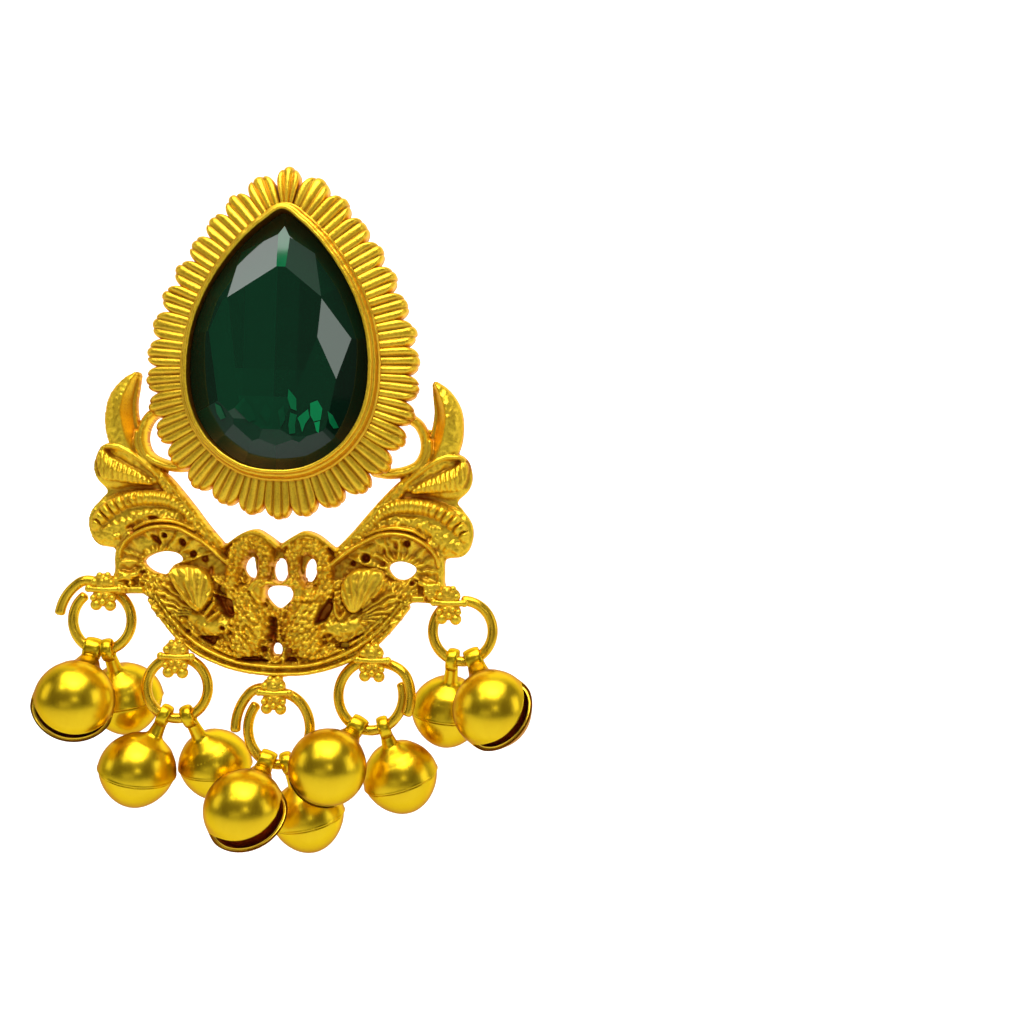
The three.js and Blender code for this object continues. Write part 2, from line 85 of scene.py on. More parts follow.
class Parts:
    """Collects closed shapes of one piece."""

    def __init__(self):
        self.v, self.f, self.a, self.n = [], [], [], 0

    def add(self, verts, faces, dark=0.0):
        verts = np.asarray(verts, float)
        self.v.append(verts)
        self.a.append(np.full(len(verts), dark) if np.isscalar(dark) else np.asarray(dark))
        for f in faces:
            self.f.append(f + self.n if isinstance(f, np.ndarray) else [i + self.n for i in f])
        self.n += len(verts)

    def build(self, name, material):
        return mesh_object(
            name, np.concatenate(self.v), self.f, material, {"dark": np.concatenate(self.a)}
        )


def grid_faces(nu, nv, wrap_u=False, wrap_v=False):
    iu = np.arange(nu if wrap_u else nu - 1)
    iv = np.arange(nv if wrap_v else nv - 1)
    a, b = np.meshgrid(iu, iv, indexing="ij")
    a2, b2 = (a + 1) % nu, (b + 1) % nv
    return np.stack([a * nv + b, a2 * nv + b, a2 * nv + b2, a * nv + b2], -1).reshape(-1, 4)


def ball(parts, c, r, seg=16, dark=0.0, scale=(1, 1, 1)):
    rings = seg // 2
    v = [[0, 0, 1]]
    for i in range(1, rings):
        p = math.pi * i / rings
        for j in range(seg):
            t = 2 * math.pi * j / seg
            v.append([math.sin(p) * math.cos(t), math.sin(p) * math.sin(t), math.cos(p)])
    v.append([0, 0, -1])
    v = np.array(v) * r * np.array(scale) + np.array(c)
    f = []
    tri = []
    for j in range(seg):
        tri.append([0, 1 + j, 1 + (j + 1) % seg])
        e = 1 + (rings - 2) * seg
        tri.append([len(v) - 1, e + (j + 1) % seg, e + j])
    q = []
    for i in range(rings - 2):
        for j in range(seg):
            a = 1 + i * seg
            b = a + seg
            q.append([a + j, b + j, b + (j + 1) % seg, a + (j + 1) % seg])
    parts.add(v, [np.array(tri), np.array(q)], dark)


def tube(parts, path, radius, seg=14, closed=False, flat=1.0, dark=0.0, up=(0, 1, 0), cap=True):
    """A round wire along a polyline in mm; radius a number or one per point; flat squashes it along up."""
    p = np.asarray(path, float)
    n = len(p)
    r = np.full(n, radius) if np.isscalar(radius) else np.asarray(radius, float)
    if closed:
        t = np.roll(p, -1, 0) - np.roll(p, 1, 0)
    else:
        t = np.gradient(p, axis=0)
    t /= np.linalg.norm(t, axis=1)[:, None]
    u = np.array(up, float)[None] - t * (t @ np.array(up, float))[:, None]
    u /= np.linalg.norm(u, axis=1)[:, None]
    w = np.cross(t, u)
    ang = np.linspace(0, 2 * np.pi, seg, endpoint=False)
    ring = (
        p[:, None]
        + (u[:, None] * np.cos(ang)[None, :, None] * flat + w[:, None] * np.sin(ang)[None, :, None])
        * r[:, None, None]
    )
    faces = [grid_faces(n, seg, closed, True)]
    verts = ring.reshape(-1, 3)
    if not closed and cap:
        # rounded ends
        extra, fl = [], []
        base = len(verts)
        for end, s in ((0, -1), (n - 1, 1)):
            prev = [end * seg + i for i in range(seg)]
            for k in (1, 2):
                a = k * math.pi / 6
                cc = p[end] + t[end] * s * r[end] * 0.55 * math.sin(a)
                rr = (
                    cc
                    + (u[end] * np.cos(ang)[:, None] * flat + w[end] * np.sin(ang)[:, None])
                    * r[end]
                    * math.cos(a)
                )
                ids = [base + len(extra) + i for i in range(seg)]
                extra.extend(rr)
                for i in range(seg):
                    q = [prev[i], prev[(i + 1) % seg], ids[(i + 1) % seg], ids[i]]
                    fl.append(q if s < 0 else q[::-1])
                prev = ids
            extra.append(p[end] + t[end] * s * r[end] * 0.55)
            tip = base + len(extra) - 1
            for i in range(seg):
                q = [prev[i], prev[(i + 1) % seg], tip]
                fl.append(q if s < 0 else q[::-1])
        verts = np.concatenate([verts, np.array(extra)])
        quads = np.array([q for q in fl if len(q) == 4])
        tris = np.array([q for q in fl if len(q) == 3])
        faces += [quads, tris]
    parts.add(verts, faces, dark)


def spline(points, n):
    """Centripetal-ish Catmull-Rom through rows of numbers."""
    p = np.asarray(points, float)
    q = np.vstack([2 * p[0] - p[1], p, 2 * p[-1] - p[-2]])
    seg = len(p) - 1
    t = np.linspace(0, seg, n)
    i = np.minimum(t.astype(int), seg - 1)
    f = (t - i)[:, None]
    a, b, c, d = q[i], q[i + 1], q[i + 2], q[i + 3]
    return 0.5 * (
        2 * b + (c - a) * f + (2 * a - 5 * b + 4 * c - d) * f**2 + (3 * b - a - 3 * c + d) * f**3
    )


# ---------------------------------------------------------------- materials


def new_material(name):
    m = bpy.data.materials.new(name)
    m.use_nodes = True
    m.node_tree.nodes.clear()
    return m, m.node_tree.nodes, m.node_tree.links


def gold(name, base, deep, rough, grain, bump, streak=1.0, patch=0.12, grain_shade=0.0, coat=0.0, metal=1.0, edge=(0.95, 0.5, 0.02)):
    """Gilt metal: base colour, deep colour for the painted shade that the dark attribute lays in recesses and hollows,
    roughness, grain size in mm and bump depth in mm.
    """
    m, nodes, links = new_material(name)
    out = nodes.new("ShaderNodeOutputMaterial")
    b = nodes.new("ShaderNodeBsdfPrincipled")
    b.inputs["Metallic"].default_value = metal
    co = nodes.new("ShaderNodeTexCoord")
    mp = nodes.new("ShaderNodeMapping")
    mp.inputs["Scale"].default_value = (1000, 1000, 1000 / streak)
    links.new(co.outputs["Object"], mp.inputs["Vector"])
    fine = nodes.new("ShaderNodeTexNoise")
    fine.inputs["Scale"].default_value = 1.0 / grain
    fine.inputs["Detail"].default_value = 3.0
    fine.inputs["Roughness"].default_value = 0.6
    links.new(mp.outputs["Vector"], fine.inputs["Vector"])
    broad = nodes.new("ShaderNodeTexNoise")
    broad.inputs["Scale"].default_value = 0.45
    broad.inputs["Detail"].default_value = 2.0
    links.new(mp.outputs["Vector"], broad.inputs["Vector"])
    at = nodes.new("ShaderNodeAttribute")
    at.attribute_name = "dark"
    # colour: base, shifted by broad patches and taken to the deep tone by the dark attribute, which carries painted
    # shade (on the crest also random mottling)
    mix1 = nodes.new("ShaderNodeMix")
    mix1.data_type = "RGBA"
    mix1.inputs["A"].default_value = (*base, 1)
    mix1.inputs["B"].default_value = (base[0] * 0.86, base[1] * 0.74, base[2] * 0.6, 1)
    rp = nodes.new("ShaderNodeMapRange")
    rp.inputs["From Min"].default_value = 0.4
    rp.inputs["From Max"].default_value = 0.7
    rp.inputs["To Max"].default_value = patch * 4
    links.new(broad.outputs["Fac"], rp.inputs["Value"])
    links.new(rp.outputs["Result"], mix1.inputs["Factor"])
    mix2 = nodes.new("ShaderNodeMix")
    mix2.data_type = "RGBA"
    mix2.inputs["B"].default_value = (*deep, 1)
    links.new(mix1.outputs["Result"], mix2.inputs["A"])
    links.new(at.outputs["Fac"], mix2.inputs["Factor"])
    # painted shade: the valleys of the grain are darkened as well
    gr = nodes.new("ShaderNodeMapRange")
    gr.inputs["From Min"].default_value = 0.50
    gr.inputs["From Max"].default_value = 0.34
    gr.inputs["To Max"].default_value = grain_shade
    links.new(fine.outputs["Fac"], gr.inputs["Value"])
    mix3 = nodes.new("ShaderNodeMix")
    mix3.data_type = "RGBA"
    mix3.inputs["B"].default_value = (deep[0] * 1.25, deep[1] * 1.35, deep[2], 1)
    links.new(mix2.outputs["Result"], mix3.inputs["A"])
    links.new(gr.outputs["Result"], mix3.inputs["Factor"])
    links.new(mix3.outputs["Result"], b.inputs["Base Color"])
    b.inputs["Specular Tint"].default_value = (*edge, 1)
    b.inputs["Coat Weight"].default_value = coat
    b.inputs["Coat Roughness"].default_value = 0.3
    rr = nodes.new("ShaderNodeMapRange")
    rr.inputs["From Min"].default_value = 0.3
    rr.inputs["From Max"].default_value = 0.7
    rr.inputs["To Min"].default_value = rough - (0.05 if grain_shade else 0.012)
    rr.inputs["To Max"].default_value = rough + (0.07 if grain_shade else 0.02)
    links.new(fine.outputs["Fac"], rr.inputs["Value"])
    links.new(rr.outputs["Result"], b.inputs["Roughness"])
    bp = nodes.new("ShaderNodeBump")
    bp.inputs["Strength"].default_value = 1.0
    bp.inputs["Distance"].default_value = bump * MM
    links.new(fine.outputs["Fac"], bp.inputs["Height"])
    links.new(bp.outputs["Normal"], b.inputs["Normal"])
    links.new(b.outputs["BSDF"], out.inputs["Surface"])
    return m


CAST = gold("cast_gold", (1.0, 0.70, 0.038), (0.42, 0.135, 0.008), 0.36, 0.2, 0.032, grain_shade=0.32, coat=0.12, metal=0.84)
PETAL = gold("petal_gold", (1.0, 0.68, 0.035), (0.36, 0.12, 0.005), 0.34, 0.22, 0.034, grain_shade=0.26, coat=0.22, metal=0.84)
RINGS = gold("ring_gold", (0.88, 0.565, 0.018), (0.3, 0.12, 0.004), 0.27, 0.4, 0.005, streak=3.0, grain_shade=0.12, coat=0.25, metal=0.95, edge=(0.75, 0.4, 0.02))
# the bells' dark edge tint paints shade onto their rims, and their deep colour is the painted shade tone of their
# insides
BELLS = gold("bell_gold", (0.87, 0.60, 0.014), (0.95, 0.45, 0.12), 0.29, 0.32, 0.011, streak=5.0, patch=0.08, coat=0.09, edge=(0.36, 0.16, 0.006))
POST = gold("post_metal", (0.95, 0.66, 0.08), (0.4, 0.2, 0.02), 0.2, 0.5, 0.004, grain_shade=0.1)

# ---------------------------------------------------------------- stone setting

PEAR = [  # z and half width of the stone opening
    (5.5, 0), (4.37, 1.8), (2.8, 3.5), (0.85, 5.1), (-1.3, 6.5), (-3.45, 7.55), (-5.8, 8.36),
    (-8.34, 8.8), (-10.8, 8.87), (-13.03, 8.6), (-15.2, 7.85), (-17.3, 6.45), (-18.9, 4.5),
    (-19.8, 2.4), (-20.05, 0),
]
_half = np.array([(w, z) for z, w in PEAR], float)
_loop = np.vstack([_half, [[-w, z] for w, z in _half[-2:0:-1]]])


def pear(n, offset=0.0):
    """n points round the opening, starting at the apex and going to +X, moved outwards by offset."""
    k = len(_loop)
    t = np.linspace(0, k, 4000, endpoint=False)
    i = t.astype(int)
    f = (t - i)[:, None]
    a, b, c, d = (_loop[(i + s) % k] for s in (-1, 0, 1, 2))
    # centripetal feel: plain Catmull-Rom is close enough on this even table
    p = 0.5 * (2 * b + (c - a) * f + (2 * a - 5 * b + 4 * c - d) * f**2 + (3 * b - a - 3 * c + d) * f**3)
    s = np.concatenate([[0], np.cumsum(np.linalg.norm(np.diff(np.vstack([p, p[:1]]), axis=0), axis=1))])
    q = np.interp(np.linspace(0, s[-1], n, endpoint=False), s[:-1], np.arange(4000))
    j = np.round(q).astype(int) % 4000
    tan = p[(j + 12) % 4000] - p[(j - 12) % 4000]
    tan /= np.linalg.norm(tan, axis=1)[:, None]
    nrm = np.stack([-tan[:, 1], tan[:, 0]], -1)
    return p[j] + nrm * offset


N_PEAR = 220
_o0 = pear(N_PEAR, 0.0)
_o1 = pear(N_PEAR, 1.0)
_nrm = _o1 - _o0
# the third number of each row is painted shade: dark down the cup's inner wall and on the outer wall's grooves, steps
# and base
CUP = [  # outward offset and height in front of the back plane, from inside to the back
    (-0.02, 1.2, 0.8), (0.0, 4.0, 1.0), (0.0, 6.5, 1.0), (0.0, 7.12, 0.9), (0.0, 7.22, 0.25), (0.04, 7.34, 0), (0.12, 7.4, 0), (0.24, 7.4, 0),
    (0.33, 7.34, 0), (0.38, 7.2, 0.05), (0.44, 6.75, 0.25), (0.52, 6.6, 0.3), (0.62, 6.62, 0.0), (0.68, 6.5, 0.0), (0.74, 6.0, 0.2),
    (0.86, 5.4, 0.45), (0.93, 5.28, 0.4), (1.03, 5.25, 0.1), (1.10, 5.12, 0.2), (1.15, 4.6, 0.7),
    (1.15, 0.25, 0.1), (1.02, 0.05, 0), (0.85, 0.0, 0),
]
setting = Parts()
BACK_WAY = -1
wob = 0.022 * np.sin(np.arange(N_PEAR) * 0.9) + 0.02 * np.sin(np.arange(N_PEAR) * 2.3 + 1) + RNG.normal(0, 0.012, N_PEAR)
rows, darks = [], []
for off, h, dk in CUP:
    w = wob if 0 < off < 1.12 else 0 * wob
    pt = _o0 + _nrm * (off + w * 0.6)[:, None]
    rows.append(np.stack([pt[:, 0], -(h + w * 0.7 * (h > 5)), pt[:, 1]], -1))
    darks.append(np.full(N_PEAR, dk))
rows.append(np.tile(np.array([[0.0, 0.0, -8.0]]), (N_PEAR, 1)) * 0.0 + np.stack([_o0[:, 0] * 0.5, 0 * _o0[:, 0], (_o0[:, 1] + 8) * 0.5 - 8], -1))
darks.append(np.zeros(N_PEAR))
v = np.concatenate(rows)
f = grid_faces(len(rows), N_PEAR, False, True)
first = np.stack([_o0[:, 0] * 0.98, 0 * _o0[:, 0] - 1.15, (_o0[:, 1] + 8) * 0.98 - 8], -1)
setting.add(v, [f, list(range((len(rows) - 1) * N_PEAR, len(rows) * N_PEAR))[::BACK_WAY], list(range(N_PEAR))[::-BACK_WAY]], np.concatenate(darks))

# petals: tips of the right half, from the top to the bottom
TIPS = [
    (0, 10.5), (3.4, 9.35), (5.9, 7.25), (7.85, 5.0), (9.6, 2.6), (11.05, 0.0), (12.3, -2.75),
    (13.25, -5.6), (13.75, -8.6), (13.75, -11.5), (13.35, -14.2), (12.5, -16.9), (10.95, -19.6),
    (8.6, -22.05), (5.8, -23.6), (2.85, -24.6), (0, -25.0),
]
foot = pear(1800, 0.75)
ALL_TIPS = [np.array(t, float) for t in TIPS + [(-x, z) for x, z in TIPS[-2:0:-1]]]
ROOTS = [foot[np.argmin(np.linalg.norm(foot - t, axis=1))] for t in ALL_TIPS]
NV, NL = 37, 28
BORDER = len(ALL_TIPS)


def petal(k):
    rng = np.random.default_rng(100 + k)
    tip, root = ALL_TIPS[k], ROOTS[k]
    prev_t, next_t = ALL_TIPS[k - 1], ALL_TIPS[(k + 1) % BORDER]
    prev_r, next_r = ROOTS[k - 1], ROOTS[(k + 1) % BORDER]
    # side lines half way to the neighbours, with a slight overlap
    sp = 0.48 if k == 0 else 0.56 if k == 1 else 0.53
    sn = 0.48 if k == 0 else 0.56 if k == BORDER - 1 else 0.53
    ra, rb = root + (prev_r - root) * sp, root + (next_r - root) * sn
    ta, tb = tip + (prev_t - tip) * (sp - 0.015), tip + (next_t - tip) * (sn - 0.015)
    d = (tip - root) / np.linalg.norm(tip - root)
    length = np.linalg.norm(tip - root)
    v = np.linspace(-1, 1, NV)
    ribs = 3
    q = np.clip((v + 1) * ribs / 2, 0, ribs - 1e-4)
    u = (q - np.floor(q)) * 2 - 1
    rib = np.sqrt(np.clip(1 - (u * 0.97) ** 2, 0, 1))
    which = np.floor(q).astype(int)
    amp = (0.5 + rng.normal(0, 0.07, ribs))[which]
    endcut = rng.normal(0, 0.05, ribs)[which]
    notch = 2.1 if k in (0, 1, BORDER - 1) else 1.8 + rng.normal(0, 0.1)
    drop = notch * (1 - np.sqrt(np.clip(1 - (v * 0.98) ** 2, 0, 1))) + 0.16 * (1 - rib) + endcut
    tt = np.concatenate([np.linspace(0, 0.82, NL - 9), 0.82 + 0.18 * np.sin(np.linspace(0, 1, 10)[1:] * np.pi / 2)])
    w = (v + 1) / 2
    wave = 0.12 * np.sin(np.linspace(0, 6, len(tt)) + rng.uniform(0, 6))
    verts, dark = [], []
    for i, t in enumerate(tt):
        tv = t * (1 - drop / length)  # fraction of the way, by place across
        L = tv * length
        side_a = ra[None] + (ta - ra)[None] * tv[:, None]
        side_b = rb[None] + (tb - rb)[None] * tv[:, None]
        base = side_a * (1 - w)[:, None] + side_b * w[:, None]
        # straight rows bulge to the tip line
        mid = root + d * L[:, None]
        bulge = (mid - (side_a + side_b) / 2) @ d
        xz = base + d[None] * bulge[:, None]
        e = (1 - t) * (length - drop)
        roll = 1 - np.sqrt(np.clip(1 - (1 - np.clip(e / 0.7, 0, 1)) ** 2, 0, 1))
        ridge = rib * amp * (0.8 + 0.25 * tv) * (1 + wave[i])
        h = 4.62 - 0.95 * tv + 0.12 * np.sin(tv * np.pi) + ridge - 1.0 * roll
        verts.append(np.stack([xz[:, 0], -h, xz[:, 1]], -1))
        # painted shade in the valleys between the ribs and near the root
        dark.append(np.clip((1 - rib) ** 1.3 * 0.95 + 0.3 * np.clip(1 - L / 0.8, 0, 1), 0, 1))
    rows = np.array(verts)
    nl = len(tt)
    idx = np.arange(nl * NV).reshape(nl, NV)
    border = np.concatenate([idx[:, 0], idx[-1, 1:-1], idx[::-1, -1]])
    top = rows.reshape(-1, 3)
    low = top[border].copy()
    low[:, 1] = -2.25
    mid = top[border].copy()
    mid[:, 1] = np.minimum(-2.5, top[border][:, 1] * 0.5 - 1.25)
    verts = np.concatenate([top, mid, low])
    nb = len(border)
    m0, l0 = nl * NV, nl * NV + nb
    i = np.arange(nb - 1)
    q1 = np.stack([border[i], border[i + 1], m0 + i + 1, m0 + i], -1)
    q2 = np.stack([m0 + i, m0 + i + 1, l0 + i + 1, l0 + i], -1)
    g = grid_faces(nl, NV)
    back = [l0 + j for j in range(nb)]
    # painted shade on the petal's side walls
    dk = np.concatenate([np.concatenate(dark), np.full(nb, 0.45), np.full(nb, 0.2)])
    flip = np.cross(np.append(tb - ta, 0), np.append(d, 0))[2] > 0
    if flip:
        return verts, [g[:, ::-1].copy(), q1, q2, back[::-1]], dk
    return verts, [g, q1[:, ::-1].copy(), q2[:, ::-1].copy(), back], dk


for k in range(BORDER):
    setting.add(*petal(k))
petal_piece = setting.build("setting_and_petals", PETAL)

# ---------------------------------------------------------------- stone

TABLE_H = 6.9
# facet planes: outward direction in degrees from +Z towards the side, slope, a point on the plane (x, z, height), tone
# (a painted brightness that stands for the light inside the stone)
MIDDLE = [
    ("table", 0, 0.0, (0, -8, TABLE_H), 0.62),
    ("strip", 0, 0.25, (0, -0.1, TABLE_H), 0.86),
    ("end", 180, 0.25, (0, -16.1, TABLE_H), 0.66),
]
LEFT = [
    ("kite_a", 34.2, 0.30, (0.45, -0.1, TABLE_H), 0.78),
    ("top", 31.6, 0.50, (0.5, 3.2, 6.074), 0.55),
    ("up_1", 50.1, 0.45, (4.1, 1.3, 5.938), 0.45),
    ("kite_c", 98.0, 0.14, (4.6, -6.9, TABLE_H), 0.66),
    ("up_2", 76.0, 0.45, (6.3, -3.3, 6.5), 0.4),
    ("up_4", 99.0, 0.42, (7.3, -9.4, 6.25), 0.3),
    ("kite_d", 118, 0.13, (4.5, -12.2, TABLE_H), 0.74),
    ("kite_e", 150, 0.24, (2.7, -15.3, TABLE_H), 0.6),
    ("up_5", 124, 0.40, (6.2, -14.9, 6.15), 0.55),
    ("up_6", 146, 0.40, (4.3, -17.1, 6.15), 0.6),
    ("up_7", 172, 0.40, (1.6, -18.35, 6.15), 0.6),
]
RIGHT = [
    ("kite_b", 38.1, 0.30, (0.45, -0.1, TABLE_H), 0.6),
    ("top", 35.4, 0.50, (0.1, 3.3, 6.162), 0.5),
    ("up_1", 53.1, 0.45, (3.2, 1.4, 6.037), 0.42),
    ("up_2", 67.1, 0.45, (4.1, -3.1, TABLE_H), 0.35),
    ("kite_c", 94.5, 0.175, (3.8, -6.9, TABLE_H), 0.75),
    ("up_4", 103.0, 0.45, (7.1, -6.9, 6.32), 0.2),
    ("kite_d", 110, 0.123, (3.8, -6.9, TABLE_H), 0.5),
    ("kite_e", 150, 0.24, (2.7, -15.3, TABLE_H), 0.6),
    ("up_5", 124, 0.40, (6.2, -14.9, 6.15), 0.4),
    ("up_6", 146, 0.40, (4.3, -17.1, 6.15), 0.5),
    ("up_7", 172, 0.40, (1.6, -18.35, 6.15), 0.5),
]


def clip_poly(poly, nx, nz, c):
    """Keeps the side of a polygon in x, z where nx*x + nz*z >= c."""
    out = []
    for i in range(len(poly)):
        a, b = poly[i], poly[(i + 1) % len(poly)]
        da, db = a[0] * nx + a[1] * nz - c, b[0] * nx + b[1] * nz - c
        if da >= 0:
            out.append(a)
        if (da > 0 and db < 0) or (da < 0 and db > 0):
            out.append(a + (b - a) * da / (da - db))
    return out


def plane_coefficients(table, side):
    rows = []
    for name, deg, slope, (x, z, h), tone in table:
        t = math.radians(deg)
        nx, nz = math.sin(t) * side, math.cos(t)
        # height = h - slope * distance along the outward direction
        rows.append((name, -slope * nx, -slope * nz, h + slope * (nx * x * side + nz * z), tone, side))
    return rows


ALL_PLANES = plane_coefficients(MIDDLE, 1) + plane_coefficients(LEFT, -1) + plane_coefficients(RIGHT, 1)
edge_line = pear(132, -0.06)


def glass(name):
    m, nodes, links = new_material(name)
    out = nodes.new("ShaderNodeOutputMaterial")
    b = nodes.new("ShaderNodeBsdfPrincipled")
    # painted light inside the stone: the tone in the dark attribute, with a little noise, picks the base colour from
    # near black through dark green to bright green
    at = nodes.new("ShaderNodeAttribute")
    at.attribute_name = "dark"
    ramp = nodes.new("ShaderNodeValToRGB")
    ramp.color_ramp.elements[0].color = (0.0008, 0.003, 0.002, 1)
    ramp.color_ramp.elements[1].position = 0.8
    ramp.color_ramp.elements[1].color = (0.0008, 0.048, 0.018, 1)
    e = ramp.color_ramp.elements.new(1.0)
    e.color = (0.002, 0.42, 0.13, 1)
    co = nodes.new("ShaderNodeTexCoord")
    nz = nodes.new("ShaderNodeTexNoise")
    nz.inputs["Scale"].default_value = 160.0
    nz.inputs["Detail"].default_value = 2.0
    links.new(co.outputs["Object"], nz.inputs["Vector"])
    ad = nodes.new("ShaderNodeMath")
    ad.operation = "MULTIPLY_ADD"
    ad.inputs[1].default_value = 0.12
    links.new(nz.outputs["Fac"], ad.inputs[0])
    links.new(at.outputs["Fac"], ad.inputs[2])
    sb = nodes.new("ShaderNodeMath")
    sb.operation = "SUBTRACT"
    sb.inputs[1].default_value = 0.06
    links.new(ad.outputs[0], sb.inputs[0])
    links.new(sb.outputs[0], ramp.inputs["Fac"])
    links.new(ramp.outputs["Color"], b.inputs["Base Color"])
    b.inputs["Roughness"].default_value = 0.04
    b.inputs["IOR"].default_value = 1.52
    links.new(b.outputs["BSDF"], out.inputs["Surface"])
    return m


GLASS = glass("green_glass")
stone = Parts()
for i, (name, ax_, az_, c_, tone, side) in enumerate(ALL_PLANES):
    poly = [q for q in edge_line]
    for j, (_, bx_, bz_, d_, _, _) in enumerate(ALL_PLANES):
        if i == j or len(poly) < 3:
            continue
        # keep where plane i is lower than plane j
        poly = clip_poly(poly, bx_ - ax_, bz_ - az_, c_ - d_)
    if len(poly) < 3:
        continue
    # painted light inside the stone: the right half of the stone is painted darker; the table is cut in strips whose
    # painted tones grow lighter towards the bottom and mostly darker to the right
    pieces = []
    if name == "table":
        for x0, x1, t1, t2, t3 in ((-9, -3.4, 0.5, 0.66, 0.79), (-3.4, -0.3, 0.56, 0.62, 0.74), (-0.3, 1.9, 0.43, 0.5, 0.68), (1.9, 9, 0.32, 0.4, 0.62)):
            for z0, z1, k1 in ((-20, -12.9, t3), (-12.9, -10.2, t2), (-10.2, 2, t1)):
                pl = clip_poly(clip_poly(clip_poly(clip_poly(poly, 1, 0, x0), -1, 0, -x1), 0, 1, z0), 0, -1, -z1)
                pieces.append((pl, k1))
    else:
        pieces.append((poly, tone))
    for pl, tn in pieces:
        if len(pl) < 3:
            continue
        pts = np.array([[q[0], -(ax_ * q[0] + az_ * q[1] + c_), q[1]] for q in pl])
        area2 = sum(pl[k][0] * pl[(k + 1) % len(pl)][1] - pl[(k + 1) % len(pl)][0] * pl[k][1] for k in range(len(pl)))
        ids = list(range(len(pts)))
        stone.add(pts, [ids if area2 < 0 else ids[::-1]], tn)
# painted glints low in the stone: bright-toned slivers that lie on the crown
GLINTS = [
    ([(1.15, -12.1), (1.95, -13.0), (2.0, -14.2), (1.45, -14.0), (1.1, -13.0)], 0.85),
    ([(1.4, -14.4), (2.05, -14.6), (1.9, -15.6), (1.95, -16.4), (1.35, -16.5), (1.25, -15.6)], 0.83),
    ([(2.1, -14.9), (3.1, -14.0), (3.3, -14.8), (2.9, -15.4), (2.6, -16.3), (2.35, -15.4)], 0.88),
    ([(3.3, -13.4), (4.0, -13.1), (4.5, -13.9), (4.35, -15.0), (3.7, -15.2), (3.35, -14.6)], 0.9),
    ([(3.75, -15.3), (4.3, -15.1), (4.2, -16.3), (3.95, -16.1)], 0.93),
    ([(5.0, -14.1), (5.5, -14.5), (6.1, -15.7), (5.6, -15.8), (5.2, -15.2)], 0.87),
    ([(0.2, -14.3), (0.75, -13.7), (0.95, -15.1), (0.5, -15.9)], 0.8),
    ([(-6.1, -13.7), (-5.5, -14.0), (-5.0, -15.1), (-5.5, -15.3), (-5.9, -14.7)], 0.83),
    ([(-4.1, -14.1), (-3.2, -13.1), (-2.4, -14.0), (-1.9, -15.2), (-2.6, -15.5)], 0.8), ([(-1.6, -14.6), (-1.0, -13.4), (-0.5, -14.4), (-0.7, -15.7)], 0.79),
]
for poly, tn in GLINTS:
    pts = []
    for x, z in poly:
        h = min(a_ * x + b_ * z + c_ for _, a_, b_, c_, _, _ in ALL_PLANES)
        pts.append([x, -h - 0.1, z])
    area2 = sum(poly[k][0] * poly[(k + 1) % len(poly)][1] - poly[(k + 1) % len(poly)][0] * poly[k][1] for k in range(len(poly)))
    ids = list(range(len(pts)))
    stone.add(np.array(pts), [ids if area2 < 0 else ids[::-1]], tn)
# girdle and pavilion
heights = np.array([min(a_ * x + b_ * z + c_ for _, a_, b_, c_, _, _ in ALL_PLANES) for x, z in edge_line])
ne = len(edge_line)
g_top = np.stack([edge_line[:, 0], -heights, edge_line[:, 1]], -1)
g_low = np.stack([edge_line[:, 0], np.full(ne, -5.15), edge_line[:, 1]], -1)
keel = np.stack([edge_line[:, 0] * 0.12, np.full(ne, -1.6), (edge_line[:, 1] + 8) * 0.35 - 8], -1)
stone.add(np.concatenate([g_top, g_low, keel]), [grid_faces(3, ne, False, True)[:, ::-1].copy(), list(range(2 * ne, 3 * ne))], 0.1)
stone_piece = stone.build("stone", GLASS)
stone_piece.data.polygons.foreach_set("use_smooth", np.zeros(len(stone_piece.data.polygons), bool))

# ---------------------------------------------------------------- crest relief

PITCH = 0.1
X = np.arange(-19.95, 19.96, PITCH)
Z = np.arange(-41.35, -10.0, PITCH)
GX, GZ = np.meshgrid(X, Z, indexing="ij")
AX = np.abs(GX)
SIDE = np.sign(GX)


def field(rows, n=48):
    """Distance to a smooth chain (x, z, r, f), with radius, height, length along it and side, over the grid."""
    p = spline(rows, n)
    seg = np.linalg.norm(np.diff(p[:, :2], axis=0), axis=1)
    s0 = np.concatenate([[0], np.cumsum(seg)])
    pad = p[:, 2].max() + 1.2
    win = (AX > p[:, 0].min() - pad) & (AX < p[:, 0].max() + pad) & (GZ > p[:, 1].min() - pad) & (GZ < p[:, 1].max() + pad)
    x, z = AX[win], GZ[win]
    best = np.full(x.shape, 1e9)
    dc, r, h, s, sd = (np.zeros(x.shape) for _ in range(5))
    for i in range(n - 1):
        ax, az, ar, af = p[i]
        bx, bz, br, bf = p[i + 1]
        ux, uz = bx - ax, bz - az
        L2 = ux * ux + uz * uz + 1e-12
        t = np.clip(((x - ax) * ux + (z - az) * uz) / L2, 0, 1)
        ex, ez = x - ax - t * ux, z - az - t * uz
        d = np.hypot(ex, ez)
        rr = ar + (br - ar) * t
        m = d - rr < best
        best[m] = (d - rr)[m]
        dc[m], r[m], h[m] = d[m], rr[m], (af + (bf - af) * t)[m]
        s[m] = (s0[i] + t * seg[i])[m]
        sd[m] = np.sign(ux * ez - uz * ex)[m]
    out = {}
    for key, val, fill in (("sdf", best, 9.0), ("dc", dc, 9.0), ("r", r, 1.0), ("h", h, 0.0), ("s", s, 0.0), ("side", sd, 0.0)):
        a = np.full(GX.shape, fill)
        a[win] = val
        out[key] = a
    return out


